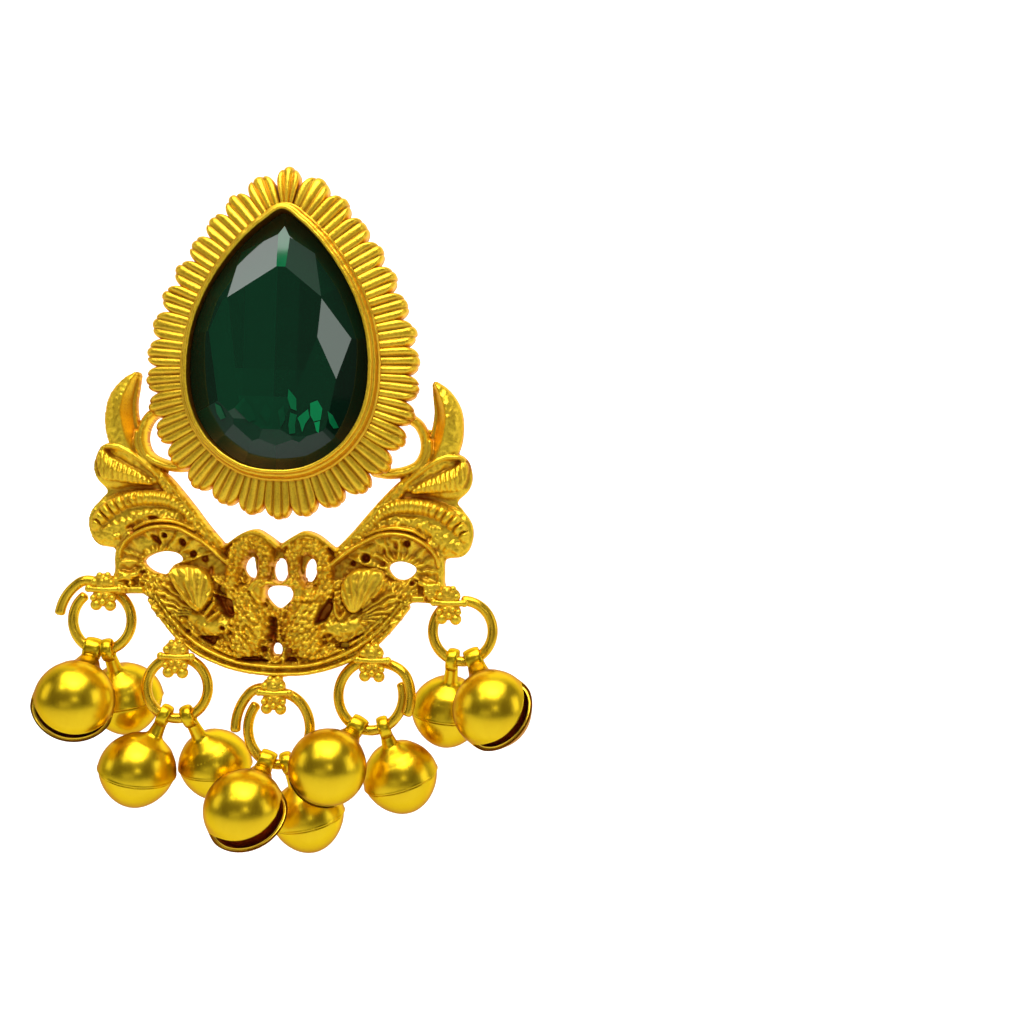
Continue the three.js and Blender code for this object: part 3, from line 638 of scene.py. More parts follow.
def poly_sdf(points, x, z):
    p = np.asarray(points, float)
    d = np.full(x.shape, 1e9)
    inside = np.zeros(x.shape, bool)
    for i in range(len(p)):
        a, b = p[i], p[(i + 1) % len(p)]
        e = b - a
        t = np.clip(((x - a[0]) * e[0] + (z - a[1]) * e[1]) / (e @ e), 0, 1)
        d = np.minimum(d, np.hypot(x - a[0] - t * e[0], z - a[1] - t * e[1]))
        c = (a[1] > z) != (b[1] > z)
        with np.errstate(divide="ignore", invalid="ignore"):
            xi = (b[0] - a[0]) * (z - a[1]) / (b[1] - a[1]) + a[0]
        inside ^= c & (x < xi)
    return np.where(inside, -d, d)


def smooth_closed(points, per=8):
    p = np.asarray(points, float)
    k = len(p)
    t = np.linspace(0, k, k * per, endpoint=False)
    i = t.astype(int)
    f = (t - i)[:, None]
    a, b, c, d = (p[(i + s) % k] for s in (-1, 0, 1, 2))
    return 0.5 * (2 * b + (c - a) * f + (2 * a - 5 * b + 4 * c - d) * f**2 + (3 * b - a - 3 * c + d) * f**3)


def smin(a, b, k=0.25):
    h = np.clip(0.5 + 0.5 * (b - a) / k, 0, 1)
    return b * (1 - h) + a * h - k * h * (1 - h)


def blur(a, r):
    k = int(round(r / PITCH))
    for _ in range(2):
        for ax in (0, 1):
            p = np.pad(a, [(k + 1, k) if i == ax else (0, 0) for i in (0, 1)], mode="edge")
            c = np.cumsum(p, axis=ax)
            n = a.shape[ax]
            w = 2 * k + 1
            hi = np.take(c, np.arange(w, w + n), axis=ax)
            lo = np.take(c, np.arange(0, n), axis=ax)
            a = (hi - lo) / w
    return a


def dome(F, power=0.5):
    return np.where(F["dc"] < F["r"], np.clip(1 - (F["dc"] / np.maximum(F["r"], 1e-6)) ** 2, 0, 1) ** power, 0)


# x, z, radius, height in front of the back plane
HORN = [(15.3, -10.75, 0.4, 2.0), (16.05, -12.0, 1.02, 2.4), (16.62, -13.5, 1.42, 2.7), (16.68, -15.1, 1.62, 2.7),
        (16.4, -16.7, 1.7, 2.5), (15.7, -18.4, 1.5, 2.2), (14.6, -19.8, 1.0, 1.9)]
CURL = [(12.6, -14.15, 0.56, 2.4), (13.7, -14.9, 0.56, 2.3), (14.35, -16.2, 0.56, 2.2), (14.4, -17.6, 0.54, 2.2),
        (13.8, -18.9, 0.54, 2.2), (12.6, -19.6, 0.54, 2.2), (11.0, -19.95, 0.56, 2.3), (9.4, -19.8, 0.56, 2.4)]
SHEATH = [(14.9, -16.6, 0.3, 2.0), (14.9, -17.8, 0.34, 2.1), (14.3, -19.0, 0.36, 2.1), (13.3, -20.2, 0.36, 2.1), (12.3, -21.2, 0.34, 2.0)]
LEAF = [(12.6, -21.3, 0.45, 1.6), (14.0, -20.85, 1.15, 1.8), (15.6, -20.35, 1.8, 1.9), (17.05, -20.15, 2.3, 1.9)]
LEAF_RIM = [(12.4, -20.95, 0.26, 2.0), (13.3, -20.3, 0.3, 2.2), (14.4, -19.4, 0.34, 2.3), (15.5, -18.65, 0.38, 2.4),
            (16.6, -18.15, 0.4, 2.4), (17.7, -18.1, 0.36, 2.3), (18.4, -18.35, 0.26, 2.1)]
PLUME = [(10.9, -23.6, 0.7, 1.5), (12.6, -24.2, 1.7, 1.7), (15.0, -24.75, 2.3, 1.8), (17.1, -25.8, 2.55, 1.8)]
BAND = [(9.2, -25.1, 0.35, 2.1), (10.3, -24.0, 0.55, 2.35), (11.5, -23.35, 0.72, 2.6), (13.1, -23.2, 0.78, 2.7), (14.8, -23.35, 0.8, 2.7),
        (16.3, -23.85, 0.85, 2.7), (17.5, -24.65, 0.88, 2.6), (18.4, -25.6, 0.75, 2.4), (18.75, -26.3, 0.5, 2.1)]
LOWER = [(9.2, -25.9, 0.5, 1.8), (11.0, -25.0, 0.75, 1.9), (13.2, -24.85, 0.8, 2.0), (15.2, -25.5, 0.95, 2.0),
         (16.9, -26.7, 1.2, 2.0), (17.9, -27.1, 1.0, 1.9)]
STEM = [(12.9, -20.5, 0.5, 1.8), (11.7, -21.8, 0.7, 1.9), (9.7, -24.2, 0.78, 2.0), (7.9, -26.4, 0.76, 2.0), (6.2, -28.2, 0.7, 2.0)]
STEM_EDGE = [(12.1, -21.0, 0.2, 2.1), (10.9, -22.3, 0.22, 2.1), (9.3, -24.2, 0.22, 2.1), (7.6, -26.2, 0.22, 2.1), (6.2, -27.8, 0.2, 2.1)]
WIRE_OUT = [(14.7, -26.35, 0.2, 2.4), (13.6, -25.75, 0.24, 2.5), (12.4, -25.5, 0.26, 2.5), (11.0, -25.5, 0.26, 2.5),
            (9.8, -25.8, 0.24, 2.4), (8.7, -26.3, 0.2, 2.3)]
WIRE_IN = [(16.15, -29.2, 0.2, 2.3), (16.0, -28.5, 0.24, 2.5), (15.6, -27.8, 0.26, 2.7), (15.0, -27.2, 0.27, 2.8), (14.0, -26.6, 0.27, 2.9),
           (13.0, -26.22, 0.27, 2.9), (12.0, -26.07, 0.27, 2.9), (11.0, -26.07, 0.27, 2.9), (10.0, -26.27, 0.27, 2.8),
           (9.0, -26.75, 0.27, 2.8), (8.0, -27.3, 0.27, 2.8), (7.0, -28.0, 0.28, 2.9), (6.0, -28.8, 0.3, 3.0), (5.0, -29.65, 0.3, 2.9),
           (4.5, -30.0, 0.24, 2.7)]
SCROLL_SIDE = [(16.3, -28.4, 0.45, 1.7), (16.4, -29.6, 0.45, 1.7), (16.3, -30.8, 0.5, 1.8), (16.6, -31.8, 0.6, 1.8)]
NECK = [(4.9, -33.0, 0.7, 2.2), (4.75, -31.2, 0.78, 2.4), (4.55, -29.6, 0.9, 2.5), (4.0, -28.1, 1.0, 2.6), (2.75, -27.3, 1.15, 2.7),
        (1.5, -28.2, 0.95, 2.6), (1.5, -29.9, 0.72, 2.3), (1.75, -31.3, 0.72, 2.6)]
HUMP = [(5.75, -27.95, 0.3, 2.3), (4.7, -27.05, 0.36, 2.5), (3.6, -26.5, 0.4, 2.6), (2.6, -26.35, 0.42, 2.6), (1.5, -26.8, 0.38, 2.6), (0.3, -27.75, 0.3, 2.4)]
HEAD = [(1.75, -31.2, 0.75, 2.8), (2.15, -32.2, 0.85, 2.9), (2.0, -33.3, 0.7, 2.7)]
BEAK = [(1.7, -31.45, 0.3, 2.9), (0.9, -31.4, 0.28, 2.8), (0.1, -31.45, 0.26, 2.6)]
BREAST = [(3.4, -33.0, 1.5, 2.6), (2.9, -34.6, 1.9, 2.9), (2.7, -36.2, 2.0, 2.9), (3.3, -37.8, 1.4, 2.6)]
BELLY = [(5.4, -36.0, 0.9, 2.2), (7.0, -35.8, 1.1, 2.3), (8.6, -35.2, 0.8, 2.1)]
RIM_OUT = [(0, -40.68, 0.3, 2.4), (3, -40.45, 0.3, 2.4), (5.6, -39.8, 0.3, 2.4), (8, -38.75, 0.3, 2.3), (9.9, -37.45, 0.3, 2.1),
           (11.6, -35.6, 0.3, 1.9), (13.1, -33.6, 0.3, 1.8)]
RIM_IN = [(0, -39.92, 0.26, 2.5), (3, -39.7, 0.28, 2.5), (5.3, -39.1, 0.3, 2.5), (7.6, -38.05, 0.3, 2.4), (9.4, -36.8, 0.3, 2.2),
          (11.1, -35.0, 0.3, 2.0), (12.5, -33.2, 0.3, 1.9)]
RIM_3 = [(3.6, -39.1, 0.2, 2.2), (5.2, -38.55, 0.22, 2.3), (7.3, -37.5, 0.22, 2.3), (9.0, -36.3, 0.2, 2.2), (10.6, -34.7, 0.2, 2.1)]
FAN = [(10.95, -30.6), (10.6, -30.05), (9.5, -29.85), (7.75, -30.0), (6.95, -30.75), (6.5, -31.8), (6.6, -33.0), (7.15, -33.9), (7.7, -34.35),
       (8.25, -34.25), (9.0, -33.5), (9.9, -32.4), (10.75, -31.3)]
FAN_RIDGE = [(10.85, -30.75, 0.16, 3.2), (10.3, -31.75, 0.22, 3.35), (9.4, -32.95, 0.26, 3.35), (8.6, -33.85, 0.26, 3.3), (8.0, -34.3, 0.26, 3.1)]
PANEL = [(13.2, -21.85), (13.5, -21.3), (14.5, -20.6), (15.6, -20.1), (16.5, -19.6), (17.5, -19.1), (18.2, -18.5), (18.75, -18.65),
         (18.87, -19.4), (18.65, -20.6), (18.05, -21.45), (16.5, -21.65), (14.5, -21.85)]
OUTLINE = [(-0.6, -27.55), (0.0, -27.45), (1.2, -26.65), (2.5, -26.02), (4.0, -26.5), (5.5, -27.6), (6.15, -27.6), (8.0, -25.7),
           (10.0, -23.2), (11.9, -20.85), (14.5, -18.8), (17.5, -17.75), (18.8, -18.3), (19.25, -19.6), (19.0, -21.2), (18.2, -22.2),
           (17.9, -22.75), (18.5, -23.45), (19.3, -24.7), (19.55, -26.2), (19.3, -27.4), (18.5, -28.2), (17.2, -28.4),
           (16.85, -28.75), (16.85, -29.9), (16.9, -31.0), (17.2, -31.8), (16.6, -33.1), (15.0, -33.05), (13.3, -33.25),
           (12.0, -35.2), (10.0, -37.5), (7.9, -39.0), (5.2, -40.2), (2.6, -40.85), (0, -41.0), (-1, -41.0)]

F = {k: field(v) for k, v in dict(
    HORN=HORN, CURL=CURL, SHEATH=SHEATH, LEAF=LEAF, LEAF_RIM=LEAF_RIM, PLUME=PLUME, BAND=BAND, LOWER=LOWER, STEM=STEM,
    STEM_EDGE=STEM_EDGE, WIRE_OUT=WIRE_OUT, WIRE_IN=WIRE_IN, SCROLL_SIDE=SCROLL_SIDE, NECK=NECK, HUMP=HUMP, HEAD=HEAD, BEAK=BEAK,
    BREAST=BREAST, BELLY=BELLY, RIM_OUT=RIM_OUT, RIM_IN=RIM_IN, RIM_3=RIM_3, FAN_RIDGE=FAN_RIDGE).items()}
plate = poly_sdf(smooth_closed(OUTLINE), AX, GZ)
S = plate
for k in ("HORN", "LEAF", "PLUME", "STEM", "RIM_OUT", "NECK"):
    S = smin(S, F[k]["sdf"], 0.12)
S = np.minimum(S, F["CURL"]["sdf"])


def oval(x, z, rx, rz, turn=0.0, gx=GX):
    c, s = math.cos(turn), math.sin(turn)
    u = (gx - x) * c + (GZ - z) * s
    w = -(gx - x) * s + (GZ - z) * c
    q = np.hypot(u / rx, w / rz)
    return (q - 1) * min(rx, rz) * (0.6 + 0.4 * q)


def shape(points, gx=GX):
    return poly_sdf(smooth_closed(points), gx, GZ)


heart = shape([(0.08, -34.05), (0.85, -33.55), (1.45, -32.7), (1.35, -32.1), (0.75, -31.83), (0.08, -31.75),
               (-0.6, -31.83), (-1.15, -32.1), (-1.3, -32.7), (-0.7, -33.55)])
eye_l = shape([(-13.9, -29.7), (-13.2, -29.05), (-12.0, -28.65), (-10.8, -28.7), (-10.1, -29.1), (-10.05, -29.55), (-10.9, -30.0),
               (-11.5, -30.85), (-12.3, -30.9), (-13.3, -30.45)])
eye_r = shape([(13.9, -29.55), (13.3, -29.1), (12.3, -28.88), (11.4, -29.15), (11.15, -29.7), (11.7, -30.45), (12.3, -30.72), (13.0, -30.65), (13.7, -30.1)])
side_l = shape([(-2.9, -28.9), (-2.65, -29.0), (-2.5, -29.9), (-2.35, -30.75), (-2.55, -31.0), (-3.1, -30.95), (-3.6, -30.2), (-3.4, -29.35)])
HOLES = [heart, eye_l, eye_r, side_l, oval(3.15, -30.1, 0.6, 1.22, -0.14), oval(0.1, -30.15, 0.7, 1.22), oval(0, -38.25, 0.5, 0.68),
         oval(-5.8, -32.4, 0.66, 0.24, -0.78), oval(6.8, -37.6, 0.5, 0.28, 0.1)]
for hsd in HOLES:
    S = np.maximum(S, -hsd)

inside = -S
H = np.full(GX.shape, 1.15)
noise = blur(RNG.normal(0, 1, GX.shape), 0.12)
noise /= noise.std()
midn = blur(RNG.normal(0, 1, GX.shape), 0.24)
midn /= midn.std()
broadn = blur(RNG.normal(0, 1, GX.shape), 0.5)
broadn /= broadn.std()
# painted shade, laid below into grooves, valleys between ribs, clefts and recesses
DARKADD = np.zeros(GX.shape)


def put(h, mask=None):
    global H
    H = np.maximum(H, h if mask is None else np.where(mask, h, 0))


# horn: hollowed inner slope, crisp ridge, rounded outer slope
a = F["HORN"]
u = np.where(a["side"] > 0, 1, -1) * np.clip(a["dc"] / np.maximum(a["r"], 1e-6), 0, 1)  # -1 inner edge, +1 outer edge
ridge = -0.2
inner = 0.7 + (a["h"] - 0.75) * np.clip((u + 1) / (1 + ridge), 0, 1) ** 1.3
outer = 0.8 + (a["h"] - 0.8) * np.sqrt(np.clip(1 - ((u - ridge) / (1 - ridge) * 0.95) ** 2, 0, 1)) + 0.025 * noise
horn_in = (a["sdf"] < 0) & (u < ridge)
put(np.where(u < ridge, inner, outer), a["sdf"] < 0)
# round wires and ridges
for k, lift in (("CURL", 0.9), ("SHEATH", 1.3), ("WIRE_OUT", 1.5), ("WIRE_IN", 1.4), ("SCROLL_SIDE", 1.0), ("RIM_OUT", 1.2), ("RIM_IN", 1.3),
                ("RIM_3", 1.5), ("BEAK", 1.7), ("STEM_EDGE", 1.5), ("HUMP", 1.4)):
    put(lift + (F[k]["h"] - lift) * dome(F[k]), F[k]["sdf"] < 0)
# leaf: plain rounded body, hollow under the rim, raised striated panel
a = F["LEAF"]
put(1.1 + (a["h"] - 1.15) * dome(a, 0.6), a["sdf"] < 0)
put(1.35 + (F["LEAF_RIM"]["h"] - 1.35) * dome(F["LEAF_RIM"]), F["LEAF_RIM"]["sdf"] < 0)
pan = poly_sdf(smooth_closed(PANEL), AX, GZ)
ph = (AX + 0.1 * (GZ + 20) + 0.04 * midn) / 0.5
cut = np.exp(-((ph - np.round(ph)) * 0.52 / 0.09) ** 2)
put(1.75 + 0.8 * np.sqrt(np.clip(-pan / 1.3, 0, 1)) - 0.24 * cut * np.clip(-pan / 0.3, 0, 1), pan < 0)
lens = np.exp(-((pan - 0.2) / 0.16) ** 2) * (AX > 12.6) * (GZ > -21.2) * (pan > 0)
H -= 0.2 * lens
# painted shade in the groove along the panel's edge
DARKADD += 0.22 * lens
# plume
put(1.1 + (F["PLUME"]["h"] - 1.1) * dome(F["PLUME"], 0.3), F["PLUME"]["sdf"] < 0)
put(1.2 + (F["LOWER"]["h"] - 1.2) * dome(F["LOWER"], 0.45) + 0.05 * noise, F["LOWER"]["sdf"] < 0)
a = F["BAND"]
pitch = np.interp(a["s"], [0, 5, 8, 12], [0.45, 0.5, 0.8, 0.95])
run = np.interp(a["s"], np.linspace(0, 13, 40), np.cumsum(1 / np.interp(np.linspace(0, 13, 40), [0, 5, 8, 12], [0.45, 0.5, 0.8, 0.95])) * 13 / 39)
ph = run + 0.12 * midn * (a["s"] < 7)
cut = np.exp(-((ph - np.round(ph)) * pitch / 0.11) ** 2)
put(1.4 + (a["h"] - 1.4) * dome(a, 0.35) - np.interp(a["s"], [0, 5, 8, 12], [0.2, 0.22, 0.6, 0.8]) * cut, a["sdf"] < 0)
# stem
a = F["STEM"]
put(1.2 + (a["h"] - 1.2) * dome(a, 0.3) + 0.05 * noise, a["sdf"] < 0)
# bridge between the scroll and the rim
bx = np.maximum(np.abs(AX - 14.25) - 0.72, np.abs(GZ + 32.58) - 0.36)
put(2.5 - 0.5 * np.clip((bx + 0.15) / 0.15, 0, 1) ** 2, bx < 0)
put(1.7 + 0.55 * np.sqrt(np.clip(1 - ((GZ + 31.15 + 0.3 * (AX - 15)) / 0.32) ** 2, 0, 1)), (AX > 14.2) & (AX < 16.6) & (np.abs(GZ + 31.15 + 0.3 * (AX - 15)) < 0.32))
# inside the scroll: hollow with radial flutes
rad = np.hypot((AX - 12.3) * 0.82, GZ + 29.9)
th = np.arctan2(GZ + 29.9, (AX - 12.3) * 0.82)
zone = (F["WIRE_IN"]["sdf"] > 0) & (AX < 16.3) & (AX > 6.6) & (GZ < -26.2) & (GZ > -31.3) & (rad < 4.6) & (GZ > -31.0 - 0.45 * (AX - 12.3))
hollow = 1.1 + 0.5 * np.clip((rad - 1.9) / 1.4, 0, 1) ** 1.5 + 0.35 * np.clip(1 - (rad - 1.25) / 0.7, 0, 1)
flute = (0.5 + 0.5 * np.cos(th * 15 + 0.5 * midn)) ** 1.2
plainpan = np.exp(-(((GX + 14.0) / 1.1) ** 2 + ((GZ + 27.95) / 0.75) ** 2) ** 2)
H = np.where(zone & (H < 1.75), hollow + 0.34 * flute * (1 - plainpan) * np.clip((rad - 0.9) / 0.6, 0, 1) + 0.25 * plainpan, H)
# painted shade between the flutes
DARKADD += 0.16 * zone * (1 - flute) * (1 - plainpan) * (H < 1.9)
# necks, heads, breasts
for k in ("NECK", "HEAD", "BREAST", "BELLY"):
    put(1.3 + (F[k]["h"] - 1.3) * dome(F[k], 0.55), F[k]["sdf"] < 0)
# wing fan, standing a little lower on the left
sft = 0.16 * SIDE
fan = poly_sdf(smooth_closed(FAN), AX + 0.12 * SIDE, GZ - sft)
fr = np.hypot(AX - 7.9, GZ + 35.0)
fa = np.arctan2(GZ + 35.0, AX - 7.9)
lines = 0.5 + 0.5 * np.cos(fa * 31 + 0.4 * midn)
fan_h = 2.35 + 0.75 * np.sqrt(np.clip(-fan / 1.7, 0, 1)) + 0.2 * lines * np.clip(fr / 2.2, 0, 1) * np.clip(-fan / 0.3, 0, 1)
# painted shade in the furrows between the fan's lines
DARKADD += 0.22 * (1 - lines) ** 2 * (fan < -0.25) * np.clip(fr / 2.2, 0, 1)
fr_f = F["FAN_RIDGE"]
# feathers behind the fan
fl = np.arctan2(GZ + 34.9, AX - 7.6)
fd = np.hypot(AX - 7.6, GZ + 34.9)
fz = (fl > -0.1) & (fl < 0.95) & (fd > 0.8) & (fd < 5.2) & (fan > 0) & (AX > 8.6) & (F["RIM_3"]["sdf"] > 0) & (F["RIM_IN"]["sdf"] > 0)
quill = (0.5 + 0.5 * np.cos(fl * 36 + 0.5 * fd + 0.6 * midn)) ** 0.9
put(1.8 + 0.42 * quill + 0.15 * np.clip(fd / 4, 0, 1), fz)
# painted shade between the quills
DARKADD += 0.2 * fz * (1 - quill)
put(fan_h, fan < 0)
put(2.2 + (fr_f["h"] - 2.2) * dome(fr_f), (fr_f["sdf"] < 0) & (GX < 0))
put(2.2 + (fr_f["h"] - 0.15 - 2.2) * dome(fr_f), (fr_f["sdf"] < 0) & (GX > 0) & (GZ > -32.6))


def field_at(rows, n=24, gx=None):
    """The same as field(), on signed x."""
    global AX
    keep_ax = AX
    AX = GX
    out = field(rows, n)
    AX = keep_ax
    return out


# leg bars, small beads and the crest of the left head
for rows in ([(-6.2, -33.5, 0.25, 3.0), (-7.1, -34.75, 0.25, 3.0)], [(-5.65, -34.4, 0.23, 3.0), (-6.85, -35.35, 0.23, 3.0)],
             [(5.85, -33.3, 0.2, 2.7), (5.95, -34.2, 0.22, 2.8), (6.35, -34.8, 0.22, 2.7)], [(6.95, -34.15, 0.18, 2.6), (6.55, -34.75, 0.18, 2.6)],
             [(-9.5, -35.45, 0.3, 2.9), (-9.45, -35.5, 0.3, 2.9)], [(8.65, -35.1, 0.26, 2.8), (9.05, -35.2, 0.24, 2.8)],
             [(-2.45, -32.55, 0.26, 3.0), (-2.5, -31.85, 0.36, 3.3), (-2.1, -31.3, 0.36, 3.3), (-1.35, -31.15, 0.24, 3.0)],
             [(1.35, -31.25, 0.2, 2.9), (2.0, -31.3, 0.28, 3.1), (2.45, -31.8, 0.28, 3.1)]):
    bf = field_at(rows)
    lift = rows[0][3] - 1.0
    put(lift + (bf["h"] - lift) * dome(bf), bf["sdf"] < 0)
# granulation: round grains on the necks, longer scales that run down to the middle on the breasts
region = np.minimum.reduce([F["NECK"]["sdf"] + 0.2, F["BREAST"]["sdf"] + 0.1,
                            poly_sdf([(0.2, -34.3), (5.4, -31.4), (5.6, -33.2), (4.2, -35.2), (6.2, -37.4), (5.0, -38.9), (1.2, -39.0), (0.4, -36.5)], AX, GZ)])
region = np.maximum(region, 0.05 - F["HUMP"]["sdf"])
region = np.maximum(region, 0.12 - np.minimum.reduce(HOLES))
legs = ((np.abs(AX - 1.5) < 0.85) & (GZ > -31.1) & (GZ < -28.7))
DARKADD += 0.2 * legs
# the ground between the wings, the breasts and the rim: feather strokes that run along the flank
wires = np.minimum.reduce([F["RIM_OUT"]["sdf"], F["RIM_IN"]["sdf"], F["RIM_3"]["sdf"]])
ground = (GZ < -30.9) & (AX < 14.2) & (wires > 0.02) & (fan > 0.1) & (np.minimum.reduce(HOLES) > 0.25) & (region > 0.15)
along_n = 0.737 * AX - 0.676 * GZ
along_d = -0.676 * AX - 0.737 * GZ
stroke = 0.5 + 0.5 * np.cos(2 * np.pi * along_n / 0.46 + 1.4 * np.sin(along_d * 1.9) + 0.9 * midn)
beat = 0.5 + 0.5 * np.cos(2 * np.pi * along_d / 1.35 + 2.0 * np.round(along_n / 0.46))
put(1.72 + 0.34 * stroke * (0.45 + 0.55 * beat) + 0.06 * noise, ground)
# painted shade in the furrows between the strokes
DARKADD += 0.16 * ground * (1 - stroke) * (H < 2.15)
put(1.72 + 0.03 * noise, (wires > 0) & (wires < 0.5) & (GZ < -31.5) & (inside > 0.2))
base_h = H.copy()
row = 0
zz = -39.2
while zz < -25.9:
    step = 0.56
    xs = np.arange(-6.6 + (row % 2) * step / 2, 6.6, step)
    for xx in xs:
        gx, gz = xx + RNG.normal(0, 0.1), zz + RNG.normal(0, 0.08)
        i, j = int(round((gx - X[0]) / PITCH)), int(round((gz - Z[0]) / PITCH))
        if not (7 < i < len(X) - 8 and 7 < j < len(Z) - 8) or region[i, j] > 0 or inside[i, j] < 0.25 or RNG.random() < 0.08:
            continue
        long = 1.55 if gz < -31.2 else 1.1
        r = 0.25 + RNG.normal(0, 0.035)
        t = (-0.6 if gx > 0 else 0.6) + RNG.normal(0, 0.35)
        c, sn = math.cos(t), math.sin(t)
        k = slice(i - 6, i + 7), slice(j - 6, j + 7)
        du = ((GX[k] - gx) * c - (GZ[k] - gz) * sn) / long
        dv = (GX[k] - gx) * sn + (GZ[k] - gz) * c
        d = np.hypot(du, dv)
        cap = np.sqrt(np.clip(1 - (d / r) ** 2, 0, 1))
        lift = 0.44 + 0.26 * RNG.random()
        H[k] = np.where(d < r, np.maximum(H[k], base_h[i, j] - 0.2 + (lift + 0.1) * cap), H[k])
    zz += step * 0.8
    row += 1
# loose grains on the brackets beside the outer lugs
for _ in range(90):
    gx = RNG.uniform(14.9, 17.2) * RNG.choice([-1, 1])
    gz = RNG.uniform(-33.0, -31.0)
    i, j = int(round((gx - X[0]) / PITCH)), int(round((gz - Z[0]) / PITCH))
    if inside[i, j] < 0.3 or bx[i, j] < 0.15:
        continue
    r = RNG.uniform(0.24, 0.36)
    k = slice(i - 5, i + 6), slice(j - 5, j + 6)
    d = np.hypot(GX[k] - gx, GZ[k] - gz)
    H[k] = np.where(d < r, np.maximum(H[k], 1.7 + 0.5 * np.sqrt(np.clip(1 - (d / r) ** 2, 0, 1))), H[k])
# cleft between the two breasts, recesses and pits, all darkened with painted shade; a recess row gives its shape, depth
# and the strength of that shade
cleft = np.exp(-((GX + 0.35) / 0.36) ** 2) * ((GZ < -34.9) & (GZ > -38.9)) * np.clip((GZ + 38.9) / 0.8, 0, 1)
H -= 0.8 * cleft * np.clip((-34.8 - GZ) / 0.6, 0, 1)
DARKADD += 0.5 * cleft * (GZ > -37.4) + 0.25 * cleft
RECESS = [
    (shape([(-6.45, -32.75), (-5.4, -33.0), (-4.6, -33.3), (-4.35, -34.1), (-4.25, -34.9), (-4.8, -35.2), (-5.4, -34.9), (-5.9, -34.0), (-6.3, -33.3)]), 0.35, 1.0),
    (shape([(5.25, -32.75), (5.6, -33.1), (5.5, -34.1), (4.95, -35.1), (4.2, -35.45), (3.85, -35.3), (4.1, -34.4), (4.65, -33.5)]), 0.35, 1.0),
    (shape([(-7.9, -37.1), (-7.0, -37.0), (-6.05, -37.1), (-6.1, -37.7), (-6.5, -38.05), (-7.2, -37.7)]), 0.35, 1.0),
    (shape([(7.2, -37.3), (7.9, -37.0), (8.8, -36.45), (8.75, -36.3), (8.0, -36.65), (7.3, -37.05)]), 0.4, 1.0),
    (shape([(-4.1, -39.35), (-2.4, -38.95), (-0.9, -39.25), (-0.85, -39.5), (-2.4, -39.55)]), 0.35, 1.0),
    (shape([(0.85, -39.35), (1.3, -38.95), (1.9, -38.95), (2.2, -39.3), (1.6, -39.5)]), 0.35, 1.0),
    (oval(-12.6, -27.45, 0.75, 0.3, -0.72), 0.75, 0.8), (oval(-11.8, -26.95, 0.3, 0.3), 0.7, 0.9), (oval(-9.95, -27.65, 0.34, 0.45, 0.3), 0.6, 1.0),
    (oval(-8.8, -28.8, 0.42, 0.38, 0.4), 0.5, 1.0), (oval(-7.65, -29.25, 0.38, 0.38), 0.5, 1.0), (oval(-7.0, -30.3, 0.26, 0.5), 0.9, 0.7),
    (oval(12.9, -27.02, 0.38, 0.34), 0.6, 1.0), (oval(11.75, -27.3, 0.24, 0.4, 0.2), 0.9, 0.6), (oval(10.6, -27.9, 0.2, 0.35), 0.9, 0.6),
    (oval(8.75, -28.65, 0.46, 0.5), 0.5, 1.0), (oval(7.45, -29.25, 0.3, 0.28), 0.6, 1.0), (oval(10.5, -29.15, 0.35, 0.28, 0.5), 0.8, 0.7),
    (oval(-9.0, -36.6, 0.3, 0.2, 0.5), 1.0, 0.7), (oval(-5.5, -36.2, 0.3, 0.25), 1.2, 0.6), (oval(5.3, -36.6, 0.35, 0.25), 1.2, 0.5),
    (oval(-1.25, -38.2, 0.35, 0.4), 1.0, 0.6), (oval(1.25, -38.3, 0.35, 0.35), 1.0, 0.6), (oval(13.55, -31.05, 0.28, 0.28), 0.9, 0.8),
    (oval(-13.9, -30.9, 0.2, 0.5, -0.4), 1.0, 0.8), (oval(-15.2, -26.2, 0.5, 0.22, 0.5), 1.1, 0.7), (oval(-13.0, -25.2, 0.6, 0.25), 1.3, 0.6),
]
groove = np.exp(-((F["WIRE_IN"]["dc"] - 0.62) / 0.2) ** 2) * (F["WIRE_IN"]["side"] > 0) * (AX > 14.0)
for sdf, depth, tone in RECESS:
    m = np.clip((0.06 - sdf) / 0.3, 0, 1)
    m = m * m * (3 - 2 * m)
    H = H * (1 - m) + np.minimum(H, max(0.55, depth) + 0.1 * midn) * m
    DARKADD += m * tone
# casting unevenness and rounded edges
calm = 1 - 0.55 * np.clip((AX - 10.5) / 2.5, 0, 1) * np.clip((GZ + 29.5) / 2, 0, 1)
H = H + calm * (0.04 * noise * (H < 2.3) * (1 - 0.8 * horn_in) + 0.035 * midn * (1 - horn_in) + 0.03 * broadn)
H = np.maximum(H, 0.42)
edge = np.clip(inside / 0.55, 0, 1)
H = np.minimum(H, 0.75 + 2.6 * np.sqrt(np.clip(1 - (1 - edge) ** 2, 0, 1)))

# painted shade: darker in cavities at three scales, on low ground and in the horn's hollow; the mottling is random tone
# but heavier on low ground, so partly painted shade
cav = np.clip((blur(H, 0.16) - H) / 0.10, 0, 1) * 0.42 + np.clip((blur(H, 0.35) - H) / 0.35, 0, 1) * 0.5 + np.clip((blur(H, 0.9) - H) / 0.9, 0, 1) * 0.35
low = np.clip((1.5 - H) / 0.8, 0, 1) * 0.28
mottle_and_shade = np.clip(0.35 * midn + 0.25 * noise + 0.3 * broadn - 0.15, 0, 1) * np.clip((2.6 - H) / 0.8, 0.15, 1)
DARK = np.clip(0.5 * cav + low + DARKADD + 0.26 * mottle_and_shade * (1 - 0.8 * horn_in) + 0.12 * horn_in, 0, 1)
